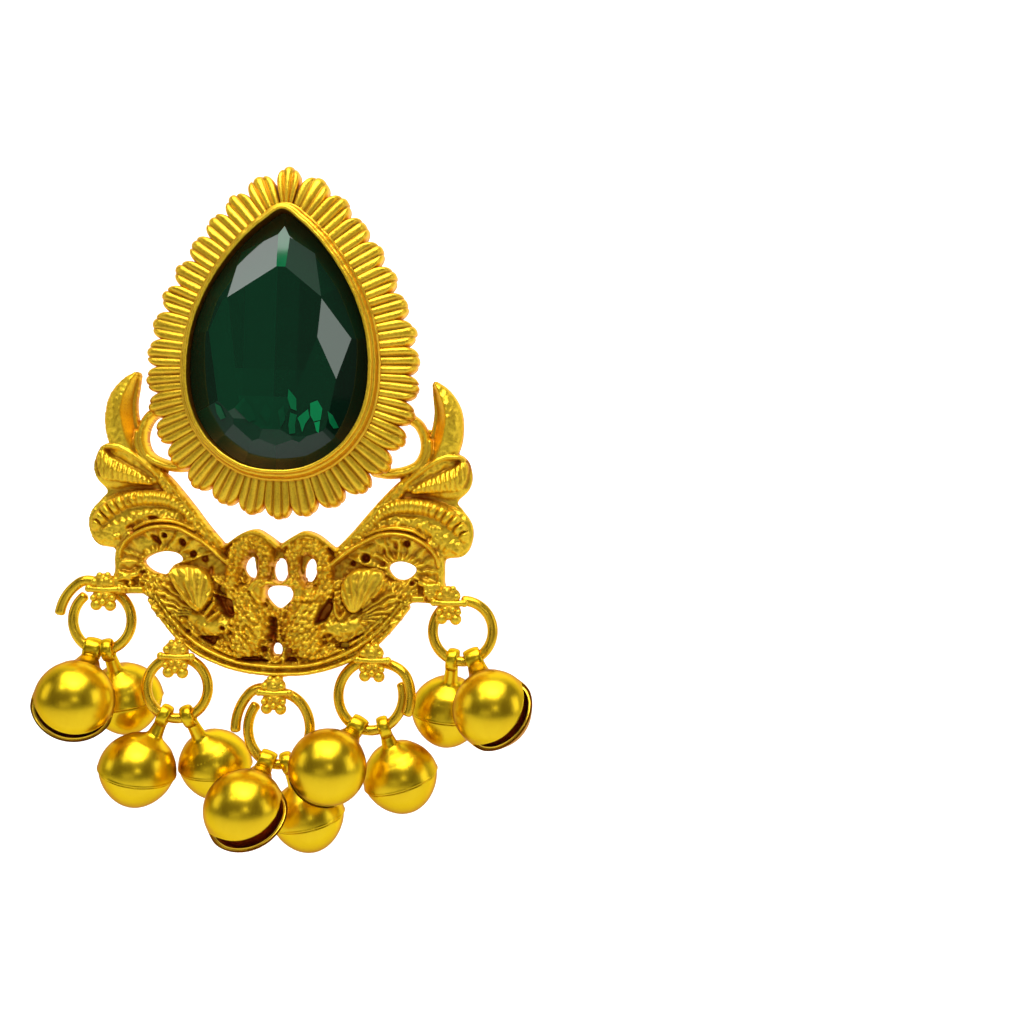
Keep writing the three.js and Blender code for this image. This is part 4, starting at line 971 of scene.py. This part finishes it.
# the feathers carry little painted shade on their faces and painted shade in their clefts
feathers = np.clip((AX - 10.5) / 2.5, 0, 1) * np.clip((GZ + 29.5) / 2, 0, 1) * (1 - horn_in)
DARK = np.clip(DARK * (1 - 0.75 * feathers * np.clip(1 - DARK / 0.34, 0, 1)) + 0.3 * feathers * np.clip(cav - 0.45, 0, 1), 0, 1)

gxS, gzS = np.gradient(S, PITCH)
g2 = np.maximum(gxS**2 + gzS**2, 0.05)
keep = S < PITCH * 0.75
cell = keep[:-1, :-1] & keep[1:, :-1] & keep[:-1, 1:] & keep[1:, 1:]
used = np.zeros(GX.shape, bool)
used[:-1, :-1] |= cell
used[1:, :-1] |= cell
used[:-1, 1:] |= cell
used[1:, 1:] |= cell
# vertices on the border of the kept cells go to the outline
nb = np.zeros(GX.shape, int)
nb[:-1, :-1] += cell
nb[1:, :-1] += cell
nb[:-1, 1:] += cell
nb[1:, 1:] += cell
border = used & (nb < 4)
PX, PZ = GX.copy(), GZ.copy()
shift = np.clip(S / g2, -2 * PITCH, 2 * PITCH)
PX[border] -= (shift * gxS)[border]
PZ[border] -= (shift * gzS)[border]
# a light relaxation of the border line hides the steps of the grid
ids = -np.ones(GX.shape, int)
ids[used] = np.arange(used.sum())
ci, cj = np.nonzero(cell)
quads = np.stack([ids[ci, cj], ids[ci + 1, cj], ids[ci + 1, cj + 1], ids[ci, cj + 1]], -1)
px, pz, ph, pd = PX[used], PZ[used], H[used].copy(), DARK[used]
bd = border[used]
ph[bd] = np.minimum(ph[bd], 0.8)
# border edges: grid edges that belong to just one kept cell
edges = {}
e = np.concatenate([quads[:, [0, 1]], quads[:, [1, 2]], quads[:, [2, 3]], quads[:, [3, 0]]])
key = e.min(1).astype(np.int64) * (used.sum() + 1) + e.max(1)
uk, inv, cnt = np.unique(key, return_inverse=True, return_counts=True)
be = e[cnt[inv] == 1]
nbr_sum = np.zeros((len(px), 2))
nbr_n = np.zeros(len(px))
for _ in range(3):
    nbr_sum[:] = 0
    nbr_n[:] = 0
    pts = np.stack([px, pz], -1)
    np.add.at(nbr_sum, be[:, 0], pts[be[:, 1]])
    np.add.at(nbr_sum, be[:, 1], pts[be[:, 0]])
    np.add.at(nbr_n, be[:, 0], 1)
    np.add.at(nbr_n, be[:, 1], 1)
    m = nbr_n > 0
    avg = nbr_sum[m] / nbr_n[m][:, None]
    px[m] = px[m] * 0.5 + avg[:, 0] * 0.5
    pz[m] = pz[m] * 0.5 + avg[:, 1] * 0.5
front = np.stack([px, -ph, pz], -1)
bids = np.unique(be)
bmap = -np.ones(len(px), int)
bmap[bids] = np.arange(len(bids))
rimv = front[bids].copy()
rimv[:, 1] = -0.12
n0 = len(front)
walls = np.stack([be[:, 0], n0 + bmap[be[:, 0]], n0 + bmap[be[:, 1]], be[:, 1]], -1)
crest = Parts()
# painted shade on the relief's side walls, darkest at the back
crest.add(np.concatenate([front, rimv]), [quads[:, ::-1].copy(), walls[:, ::-1].copy()], np.concatenate([pd, np.full(len(bids), 0.7)]))
crest_piece = crest.build("crest_relief", CAST)

# flat back of the crest, on a coarser grid of the same outline
K = 3
Sb, Xb, Zb = S[::K, ::K], GX[::K, ::K], GZ[::K, ::K]
gxb, gzb = np.gradient(Sb, PITCH * K)
kb = Sb < PITCH * K * 0.55
cb = kb[:-1, :-1] & kb[1:, :-1] & kb[:-1, 1:] & kb[1:, 1:]
ub = np.zeros(Sb.shape, bool)
nbb = np.zeros(Sb.shape, int)
for di, dj in ((0, 0), (1, 0), (0, 1), (1, 1)):
    sl = slice(di, Sb.shape[0] - 1 + di), slice(dj, Sb.shape[1] - 1 + dj)
    ub[sl] |= cb
    nbb[sl] += cb
bb = ub & (nbb < 4)
Xb, Zb = Xb.copy(), Zb.copy()
sh = np.clip(Sb / np.maximum(gxb**2 + gzb**2, 0.1), -0.3, 0.3)
Xb[bb] -= (sh * gxb)[bb]
Zb[bb] -= (sh * gzb)[bb]
idb = -np.ones(Sb.shape, int)
idb[ub] = np.arange(ub.sum())
ci, cj = np.nonzero(cb)
qb = np.stack([idb[ci, cj], idb[ci + 1, cj], idb[ci + 1, cj + 1], idb[ci, cj + 1]], -1)
bx, bz = Xb[ub], Zb[ub]
back_parts = Parts()
inner_b = np.clip(-Sb[ub] / 0.8, 0, 1)
cast = broadn[::K, ::K][ub]
flat = np.stack([bx, -inner_b * np.clip(0.08 + 0.045 * cast, 0, 0.17), bz], -1)
under = np.stack([bx, np.full(len(bx), -0.2), bz], -1)
eb = np.concatenate([qb[:, [0, 1]], qb[:, [1, 2]], qb[:, [2, 3]], qb[:, [3, 0]]])
keyb = eb.min(1).astype(np.int64) * (ub.sum() + 1) + eb.max(1)
_, invb, cntb = np.unique(keyb, return_inverse=True, return_counts=True)
beb = eb[cntb[invb] == 1]
nn = len(flat)
wb = np.stack([beb[:, 0], nn + beb[:, 0], nn + beb[:, 1], beb[:, 1]], -1)
back_parts.add(np.concatenate([flat, under]), [qb, qb[:, ::-1].copy() + nn, wb], 0.12)
back_piece = back_parts.build("crest_back", CAST)

# ---------------------------------------------------------------- jump rings

RING = [  # x, z, y, rx, rz, outer end angle, sense, overlap, rise, lug x
    dict(x=-17.95, z=-35.85, y=-1.0, rx=2.98, rz=3.1, start=172, way=-1, over=42, rise=1.4),
    dict(x=-9.95, z=-42.4, y=-1.6, rx=3.12, rz=3.12, start=78, way=-1, over=-14, rise=0.0),
    dict(x=0.45, z=-46.3, y=-1.1, rx=3.15, rz=3.65, start=183, way=-1, over=42, rise=1.28),
    dict(x=9.72, z=-42.6, y=-1.3, rx=3.3, rz=3.55, start=-22, way=1, over=42, rise=0.8, fwd=0.7),
    dict(x=18.85, z=-35.75, y=-1.0, rx=3.05, rz=3.1, start=104, way=1, over=-14, rise=0.0),
]
WIRE_R = 0.535


def ring_path(r, n=150):
    gone = np.linspace(0, 360 + r["over"], n)
    t = np.clip((gone - 48) / 52, 0, 1)
    s = t * t * (3 - 2 * t)
    a = np.radians(r["start"] + r["way"] * gone)
    out = r["rise"] * (1 - s)
    return np.stack([r["x"] + (r["rx"] + out) * np.cos(a), r["y"] - r.get("fwd", 0.0) * (1 - s), r["z"] + (r["rz"] + out) * np.sin(a)], -1)


ring_pieces = []
for i, r in enumerate(RING):
    p = Parts()
    tube(p, ring_path(r), WIRE_R, seg=20, up=(0, 1, 0))
    o = p.build(f"ring_{i + 1}", RINGS)
    ring_pieces.append((o, f"jump_ring_{i + 1}"))

# ---------------------------------------------------------------- lugs with granules

LUG = [(-17.6, -31.9, -34.3, -16.0, -32.3), (-9.95, -38.9, -41.2, -9.75, -37.6), (0.0, -42.4, -44.2, 0.05, -40.9),
       (9.85, -38.9, -41.2, 9.6, -37.6), (17.4, -31.9, -34.3, 16.0, -32.3)]
lug_parts = Parts()
for (lx, top, low, tx, tz), r in zip(LUG, RING):
    y = r["y"]
    f = y - 1.0  # the granules lie in front of the wire
    zc = r["z"] + r["rz"] * math.sqrt(max(0.0, 1 - ((lx - r["x"]) / r["rx"]) ** 2))  # wire height here
    # a little painted shade on the arm back to the crest
    tube(lug_parts, spline([(tx, -1.3, tz), ((tx + lx) / 2, -1.6, (tz + top) / 2 + 0.1), (lx, f - 0.05, top + 0.1)], 10), [0.72] * 10, seg=14, dark=0.2)
    # loop behind the wire, with a little painted shade
    a = np.linspace(0, 2 * np.pi, 28, endpoint=False)
    loop = np.stack([np.full(28, lx), y + 1.12 * np.cos(a), zc + 1.12 * np.sin(a)], -1)
    tube(lug_parts, loop, 0.27, seg=12, closed=True, up=(1, 0, 0), flat=3.2, dark=0.3)
    # bar across the front, the mass under it, two large beads below and small ones above; the masses carry a little
    # painted shade
    f -= 0.1
    zb = zc + 0.12
    bar = spline([(lx - 1.5, f, zb + 0.04), (lx, f - 0.15, zb - 0.03), (lx + 1.5, f, zb + 0.06)], 12)
    tube(lug_parts, bar, 0.34, seg=14, dark=0.0)
    for dx in (-1.55, 1.55):
        ball(lug_parts, (lx + dx, f, zb + 0.05), 0.4, 14, 0.0)
    ball(lug_parts, (lx, f + 0.1, zb - 0.8), 1.0, 20, 0.3, (1.25, 0.6, 0.95))
    ball(lug_parts, (lx - 0.05, f + 0.15, zb + 0.75), 1.0, 20, 0.3, (1.2, 0.6, 0.9))
    for dx, dz, gr in ((-0.7, -1.55, 0.6), (0.72, -1.58, 0.6)):
        ball(lug_parts, (lx + dx, f - 0.05, zb + dz), gr, 20, 0.0)
    for dx, dz, gr in ((0.02, -1.25, 0.36), (-0.95, -0.85, 0.34), (0.98, -0.85, 0.33), (-0.35, -0.6, 0.32), (0.4, -0.62, 0.3)):
        ball(lug_parts, (lx + dx, f - 0.42, zb + dz), gr, 12, 0.0)
    for dx, dz, gr in ((-0.95, 0.72, 0.42), (-0.1, 0.78, 0.44), (0.72, 0.66, 0.38), (-0.45, 1.4, 0.36), (0.35, 1.45, 0.36)):
        ball(lug_parts, (lx + dx, f - 0.1, zb + dz), gr, 12, 0.0)
lug_piece = lug_parts.build("lugs", CAST)

# ---------------------------------------------------------------- bells

# ring, place on it in degrees, body centre, radius,
# seam: tilt of the seam line (up to the right) and how far the upper cap leans to the front, degrees
# slit: direction of its middle from straight down towards +X, how far it faces the front, width mm, half length in degrees
BELL = [
    ("bell_1_front", 0, -107, (-19.6, -4.3, -43.7), 3.98, (-14, -34), (-14, 25, 1.1, 80)),
    ("bell_1_back", 0, -77, (-16.2, 2.6, -44.4), 3.9, (8, 10), (10, -20, 0.8, 80)),
    ("bell_2_left", 1, -113, (-13.8, -1.5, -51.1), 3.95, (-9.5, 12.5), (-5, -18, 0.8, 80)),
    ("bell_2_right", 1, -67, (-6.4, 1.5, -50.75), 3.8, (3, 14), (5, -18, 0.8, 80)),
    ("bell_3_front", 2, -112, (-2.15, -5.1, -53.9), 4.03, (10, -38), (30, 35, 1.65, 84)),
    ("bell_3_back", 2, -72, (3.45, 1.2, -55.8), 3.85, (13, 10), (5, -20, 0.8, 80)),
    ("bell_4_front", 3, -114, (6.0, -5.25, -49.4), 3.88, (-28, -38), (-30, 11, 0.35, 42)),
    ("bell_4_back", 3, -64, (12.95, 0.7, -51.3), 3.92, (18, 11), (8, -20, 0.8, 80)),
    ("bell_5_front", 4, -66, (22.15, -5.05, -43.1), 3.95, (25, -40), (54, 38, 1.15, 76)),
    ("bell_5_back", 4, -108, (17.45, 2.4, -44.6), 3.9, (-4, 10), (0, -20, 0.8, 80)),
]
WALL = 0.4
EYE = WIRE_R + 0.26


def unit(v):
    v = np.asarray(v, float)
    return v / np.linalg.norm(v)


def bell(row):
    name, ri, deg, c, R, (roll, lean), (turn, face, width, reach) = row
    r = RING[ri]
    a = math.radians(deg)
    eye = np.array([r["x"] + r["rx"] * math.cos(a), r["y"], r["z"] + r["rz"] * math.sin(a)])
    tan = unit([-r["rx"] * math.sin(a), 0, r["rz"] * math.cos(a)])
    c = np.array(c)
    up = eye - c
    length = np.linalg.norm(up)
    up /= length
    side = unit(tan - up * (tan @ up))
    M = np.stack([side, np.cross(up, side), up], -1)
    # the axis across the seam
    ro, le = math.radians(roll), math.radians(lean)
    sa = np.array([-math.sin(ro) * math.cos(le), -math.sin(le), math.cos(ro) * math.cos(le)])
    # the slit: a slab through the centre; mid points to its middle, along the slab; n is across it
    tu, fa_ = math.radians(turn), math.radians(face)
    if face > 0:  # front bells: turned towards the viewer, who looks from the right of the middle
        look = unit(np.array([23.5, -154.1, -23.4]) - c)
    else:
        look = np.array([0.0, -1.0, 0.0])
    right = unit(np.cross([0, 0, 1], -look)) * -1
    over = np.cross(right, look) * -1
    if over[2] < 0:
        over = -over
    if right[0] < 0:
        right = -right
    mid = math.sin(tu) * math.cos(fa_) * right - math.cos(tu) * math.cos(fa_) * over + math.sin(fa_) * look
    along = math.cos(tu) * right + math.sin(tu) * over
    n = np.cross(along, mid)
    if n[1] > 0:
        n = -n  # n points to the front
    half = width / 2
    P = Parts()
    if face < 0:
        verts, fl, dark = lathed_shell(R, sa, n, mid, width, reach)
        P.add(verts + c, fl, dark)
    else:
        slit_shell(P, R, c, n, along, mid, width, reach)
    neck_and_eye(P, R, c, M, length, 1.0 if face > 0 else 0.68)
    return P.build(name.replace("bell_", "jingle_"), BELLS), name


def slit_shell(P, R, c, n, along, mid, width, reach):
    """Hollow ball of quads with its poles on the slit's axis, so that the slit's lips are clean rings of vertices."""
    half = width / 2
    gap = math.asin(min(0.95, half / R))
    nf = nb_ = 34
    NA = 108
    az = np.linspace(0, 2 * np.pi, NA, endpoint=False)
    rc = math.radians(reach)
    off = np.abs(((az - math.pi / 2 + math.pi) % (2 * math.pi)) - math.pi)  # 0 in the middle of the slit
    closed = off > rc
    g = gap * np.clip((rc - off) / 0.5, 0, 1) ** 0.5
    t = np.zeros((nf + nb_, NA))
    t[:nf] = np.linspace(0, 1, nf)[:, None] * (math.pi / 2 - g)[None]
    t[nf:] = (math.pi / 2 + g)[None] + np.linspace(0, 1, nb_)[:, None] * (math.pi / 2 - g)[None]
    aa = np.repeat(az[None], nf + nb_, 0)
    grids = []
    for shrink in (0.0, WALL):
        th, az2, of2 = t.reshape(-1), aa.reshape(-1), np.repeat(off[None], nf + nb_, 0).reshape(-1)
        d = n[None] * np.cos(th)[:, None] + (along[None] * np.cos(az2)[:, None] + mid[None] * np.sin(az2)[:, None]) * np.sin(th)[:, None]
        away = np.abs(th - math.pi / 2) * R
        lip = np.exp(-((away - half) / 0.6) ** 2) * np.clip((rc + 0.25 - of2) / 0.45, 0, 1)
        back_half = th > math.pi / 2
        rr = R - shrink + lip * np.where(back_half, 0.26 if width > 0.5 else 0.1, -0.06)
        grids.append((d * rr[:, None], lip * back_half))
    faces = grid_faces(nf + nb_, NA, False, True)
    row, col = faces[:, 0] // NA, faces[:, 0] % NA
    open_cell = (row == nf - 1) & ~(closed[col] & closed[(col + 1) % NA])
    faces = faces[~open_cell]
    N0 = (nf + nb_) * NA
    lips = []
    cell_open = [not (closed[k] and closed[(k + 1) % NA]) for k in range(NA)]
    for k in range(NA):
        k2 = (k + 1) % NA
        f0, f1, b0, b1 = (nf - 1) * NA + k, (nf - 1) * NA + k2, nf * NA + k, nf * NA + k2
        if cell_open[k]:
            lips.append([f0, f1, f1 + N0, f0 + N0])
            lips.append([b1, b0, b0 + N0, b1 + N0])
        if cell_open[k] and not cell_open[k2]:
            lips.append([f1, b1, b1 + N0, f1 + N0])
        if not cell_open[k] and cell_open[k2]:
            lips.append([b1, f1, f1 + N0, b1 + N0])
    verts = np.concatenate([grids[0][0], grids[1][0]]) + c
    quads = np.concatenate([faces, faces[:, ::-1] + N0, np.array(lips)])
    f0 = faces[len(faces) // 3]
    if np.cross(verts[f0[1]] - verts[f0[0]], verts[f0[2]] - verts[f0[1]]) @ (verts[f0[0]] - c) < 0:
        quads = quads[:, ::-1].copy()
    # painted shade: a little along the outer back lip, and the deep shade tone over the whole inside, lighter just
    # inside the back lip
    P.add(verts, [quads], np.concatenate([0.2 * grids[0][1], 0.9 - 0.75 * grids[1][1]]))


def lathed_shell(R, axis, n, mid, width, reach):
    """Hollow ball turned about the seam axis: the upper cap laps over a slightly smaller, flatter lower cap; a slit is cut below."""
    low = np.radians(np.linspace(-90, -1.2, 34))
    prof = [(max(0.0004, (R - 0.1) * math.cos(q) * (1 - 0.15 * abs(math.sin(q)))), 0.94 * R * math.sin(q)) for q in low]
    prof += [(R - 0.20, -0.05), (R - 0.18, -0.01), (R - 0.02, 0.0), (R + 0.035, 0.05), (R + 0.035, 0.13), (R - 0.005, 0.2)]
    prof += [(R * math.cos(q), R * math.sin(q)) for q in np.radians(np.linspace(4.2, 90, 30))]
    prof[-1] = (0.0004, R)
    ri = R - 0.7
    inner = [(max(0.0004, ri * math.cos(q)), ri * math.sin(q)) for q in np.radians(np.linspace(-90, 90, 30))]
    seg = 72
    aa = np.linspace(0, 2 * np.pi, seg, endpoint=False)

    def turn(pr):
        pr = np.array(pr)
        return np.stack([pr[:, 0, None] * np.cos(aa), pr[:, 0, None] * np.sin(aa), np.repeat(pr[:, 1, None], seg, 1)], -1).reshape(-1, 3)

    vo, vi = turn(prof), turn(inner)
    fo = grid_faces(len(prof), seg, False, True)[:, ::-1]
    fi = grid_faces(len(inner), seg, False, True) + len(vo)
    ex = unit(np.cross([0, 1, 0], axis))
    B = np.stack([ex, np.cross(axis, ex), axis], -1)
    me = bpy.data.meshes.new("shell")
    me.from_pydata((np.concatenate([vo, vi]) @ B.T).tolist(), [], np.concatenate([fo, fi]).tolist())
    bm = bmesh.new()
    bm.from_mesh(me)
    bmesh.ops.remove_doubles(bm, verts=bm.verts, dist=0.002)
    bmesh.ops.dissolve_degenerate(bm, edges=bm.edges, dist=0.0005)
    bm.to_mesh(me)
    bm.free()
    shell = bpy.data.objects.new("shell", me)
    bpy.context.scene.collection.objects.link(shell)
    across = unit(np.cross(mid, n))
    rc = math.radians(reach)
    h0 = R * math.cos(rc)  # the slit starts this far below the centre
    pts = []
    for sgn in (-1, 1):
        for u, w in ((-1.3 * R, h0), (1.3 * R, h0), (1.3 * R, 1.3 * R), (-1.3 * R, 1.3 * R)):
            pts.append((across * u + mid * w + n * sgn * width / 2).tolist())
    cme = bpy.data.meshes.new("cut")
    cme.from_pydata(pts, [], [(0, 1, 2, 3), (7, 6, 5, 4), (0, 4, 5, 1), (1, 5, 6, 2), (2, 6, 7, 3), (3, 7, 4, 0)])
    bm = bmesh.new()
    bm.from_mesh(cme)
    bmesh.ops.recalc_face_normals(bm, faces=bm.faces)
    bm.to_mesh(cme)
    bm.free()
    cut = bpy.data.objects.new("cut", cme)
    bpy.context.scene.collection.objects.link(cut)
    mod = shell.modifiers.new("cut", "BOOLEAN")
    mod.operation, mod.solver, mod.object = "DIFFERENCE", "EXACT", cut
    res = bpy.data.meshes.new_from_object(shell.evaluated_get(bpy.context.evaluated_depsgraph_get()))
    verts = np.array([v.co[:] for v in res.vertices])
    by = {}
    for q in res.polygons:
        ids = list(q.vertices)
        by.setdefault(len(ids), []).append(ids)
    bpy.data.objects.remove(shell)
    bpy.data.objects.remove(cut)
    rr = np.linalg.norm(verts, axis=1)
    h = verts @ axis
    # painted shade: the deep shade tone inside the shell and in the groove along the seam
    dark = np.where(rr < R - 0.55, 0.9, 0.0) + 0.5 * ((rr < R - 0.13) & (np.abs(h + 0.03) < 0.05))
    return verts, [np.array(v) if k in (3, 4) else None for k, v in by.items() if k in (3, 4)] + [ids for k, v in by.items() if k > 4 for ids in v], np.clip(dark, 0, 1)


def neck_and_eye(P, R, c, M, length, w=1.0):
    """Flared stem and the strap that closes round the ring wire."""
    z1 = R * math.cos(math.radians(31))
    r1 = R * math.sin(math.radians(31))
    top = length - EYE
    prof = spline([(r1 + 0.9, z1 - 0.75), (r1 + 0.28, z1 - 0.12), (r1 - 0.25, z1 + 0.22), (1.35 * w, z1 + 0.72), (1.08 * w, z1 + 1.25), (0.95 * w, top - 0.3),
                   (0.86 * w, top + 0.12), (0.5 * w, top + 0.2)], 30)
    prof = np.vstack([[(0.0005, prof[0, 1])], prof, [(0.0005, top + 0.2)]])
    aa = np.linspace(0, 2 * np.pi, 44, endpoint=False)
    squash = 1 - 0.22 * np.clip((prof[:, 1] - z1) / max(0.3, top - z1), 0, 1)  # thinner front to back near the eye
    nv = np.stack([prof[:, 0, None] * np.cos(aa), prof[:, 0, None] * np.sin(aa) * squash[:, None], np.repeat(prof[:, 1, None], 44, 1)], -1).reshape(-1, 3)
    P.add(nv @ M.T + c, [grid_faces(len(prof), 44, False, True)[:, ::-1].copy()], 0.0)
    b = np.linspace(0, 2 * np.pi, 36, endpoint=False)
    mid_r = EYE + 0.2
    lp = np.stack([np.zeros(36), mid_r * np.cos(b), length + mid_r * np.sin(b)], -1)
    E = Parts()
    tube(E, lp, 0.21, seg=18, closed=True, up=(1, 0, 0), flat=4.0 * w)
    P.add(np.concatenate(E.v) @ M.T + c, E.f, 0.0)


bell_pieces = [bell(row) for row in BELL]

# ---------------------------------------------------------------- frame roles

for o in (petal_piece, crest_piece, back_piece, lug_piece):
    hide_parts("cast_frame")
    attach(o, "root")
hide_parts("pear_stone")
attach(stone_piece, "root")
for o, node in ring_pieces + bell_pieces:
    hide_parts(node)
    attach(o, "root")
post = bpy.data.objects.get("ear_post")
if post is not None:
    post.data.materials.clear()
    post.data.materials.append(POST)

# ---------------------------------------------------------------- stage

PHI = math.radians(1.9)
CAM = Vector((23.47, -154.1, -23.435)) * MM
LENS = 36 * 150 / 102.4


def paper(name):
    """Matt paper with a painted glow (emission) standing for the light on it, brighter on the backdrop than on the
    floor.
    """
    m, nodes, links = new_material(name)
    out = nodes.new("ShaderNodeOutputMaterial")
    d = nodes.new("ShaderNodeBsdfDiffuse")
    sh = nodes.new("ShaderNodeAttribute")
    sh.attribute_name = "shade"
    links.new(sh.outputs["Fac"], d.inputs["Color"])
    e = nodes.new("ShaderNodeEmission")
    e.inputs["Color"].default_value = (1, 1, 1, 1)
    at = nodes.new("ShaderNodeAttribute")
    at.attribute_name = "glow"
    s = nodes.new("ShaderNodeAddShader")
    links.new(at.outputs["Fac"], e.inputs["Strength"])
    links.new(d.outputs[0], s.inputs[0])
    links.new(e.outputs[0], s.inputs[1])
    links.new(s.outputs[0], out.inputs["Surface"])
    return m


# a floor that curves up into the backdrop
prof = [(-700, -110, 0.0, 0.15), (-230, -110, 0.0, 0.2), (-150, -110, 0.1, 0.6), (40, -110, 0.25, 0.62), (90, -110, 0.6, 0.62)]
for k in range(1, 13):
    t = k / 12 * math.pi / 2
    prof.append((90 + 130 * math.sin(t), -110 + 130 * (1 - math.cos(t)), 0.6 + 0.35 * k / 12, 0.62))
prof.append((220, 700, 0.95, 0.62))
ACROSS = [(-900, 0.4), (-330, 0.42), (-170, 0.85), (-115, 1.0), (23, 1.0), (165, 1.0), (215, 0.85), (370, 0.42), (900, 0.4)]
cv, cf, glow, shade = [], [], [], []
for y, z, gl, sd in prof:
    for x, f in ACROSS:
        cv.append((x, y, z))
        glow.append(gl * f)
        shade.append(sd)
na = len(ACROSS)
for k in range(len(prof) - 1):
    for j in range(na - 1):
        cf.append([k * na + j, k * na + j + 1, (k + 1) * na + j + 1, (k + 1) * na + j])
backdrop = mesh_object("backdrop", cv, [np.array(cf)], paper("pale_paper"), {"glow": glow, "shade": shade}, smooth=True)


def area(name, loc, target, size, radiance, colour=(1, 1, 1)):
    """A soft box: position and target in mm, size in mm, brightness as radiance."""
    d = bpy.data.lights.new(name, "AREA")
    d.shape = "RECTANGLE"
    d.size, d.size_y = size[0] * MM, size[1] * MM
    d.energy = radiance * math.pi * size[0] * size[1] * 1e-6
    d.color = colour
    o = bpy.data.objects.new(name, d)
    bpy.context.scene.collection.objects.link(o)
    o.location = Vector(loc) * MM
    o.rotation_euler = (Vector(target) * MM - o.location).to_track_quat("-Z", "Y").to_euler()
    return o


area("key", (24, -224, 250), (0, 0, -25), (200, 120), 5.2)
area("card_left", (-160, -246, 201), (-2.5, 0, 1), (60, 60), 4.8)
area("card_mid", (60, -265, 175), (2, 0, -3), (90, 70), 0.5)
area("card_right", (82, -347, 22), (5, 0, -7), (56, 56), 3.2)
area("card_low", (-84, -345, -68), (0, 0, -30), (200, 84), 0.5)
area("top", (0, -90, 290), (0, 0, -30), (380, 230), 3.0)
area("left", (-330, -60, 60), (0, 0, -30), (140, 180), 1.1)
area("right", (330, -60, 40), (0, 0, -30), (160, 200), 1.4)

world = bpy.data.worlds.new("studio")
bpy.context.scene.world = world
world.use_nodes = True
wn, wl = world.node_tree.nodes, world.node_tree.links
wn.clear()
wo = wn.new("ShaderNodeOutputWorld")
bg = wn.new("ShaderNodeBackground")
bg.inputs["Color"].default_value = (1.0, 0.88, 0.76, 1)
bg.inputs["Strength"].default_value = 0.1
wl.new(bg.outputs[0], wo.inputs["Surface"])

bpy.context.scene.view_settings.view_transform = "Standard"
bpy.context.scene.view_settings.look = "None"
bpy.context.scene.view_settings.exposure = 0.13

cam_data = bpy.data.cameras.new("camera")
cam_data.lens = LENS
cam_data.sensor_width = 36
cam_data.clip_start, cam_data.clip_end = 0.01, 10
cam = bpy.data.objects.new("camera", cam_data)
bpy.context.scene.collection.objects.link(cam)
right = Vector((math.cos(PHI), 0, math.sin(PHI)))
upv = Vector((-math.sin(PHI), 0, math.cos(PHI)))
backv = Vector((0, -1, 0))
rot = Matrix((right, upv, backv)).transposed().to_4x4()
cam.matrix_world = Matrix.Translation(CAM) @ rot
bpy.context.scene.camera = cam
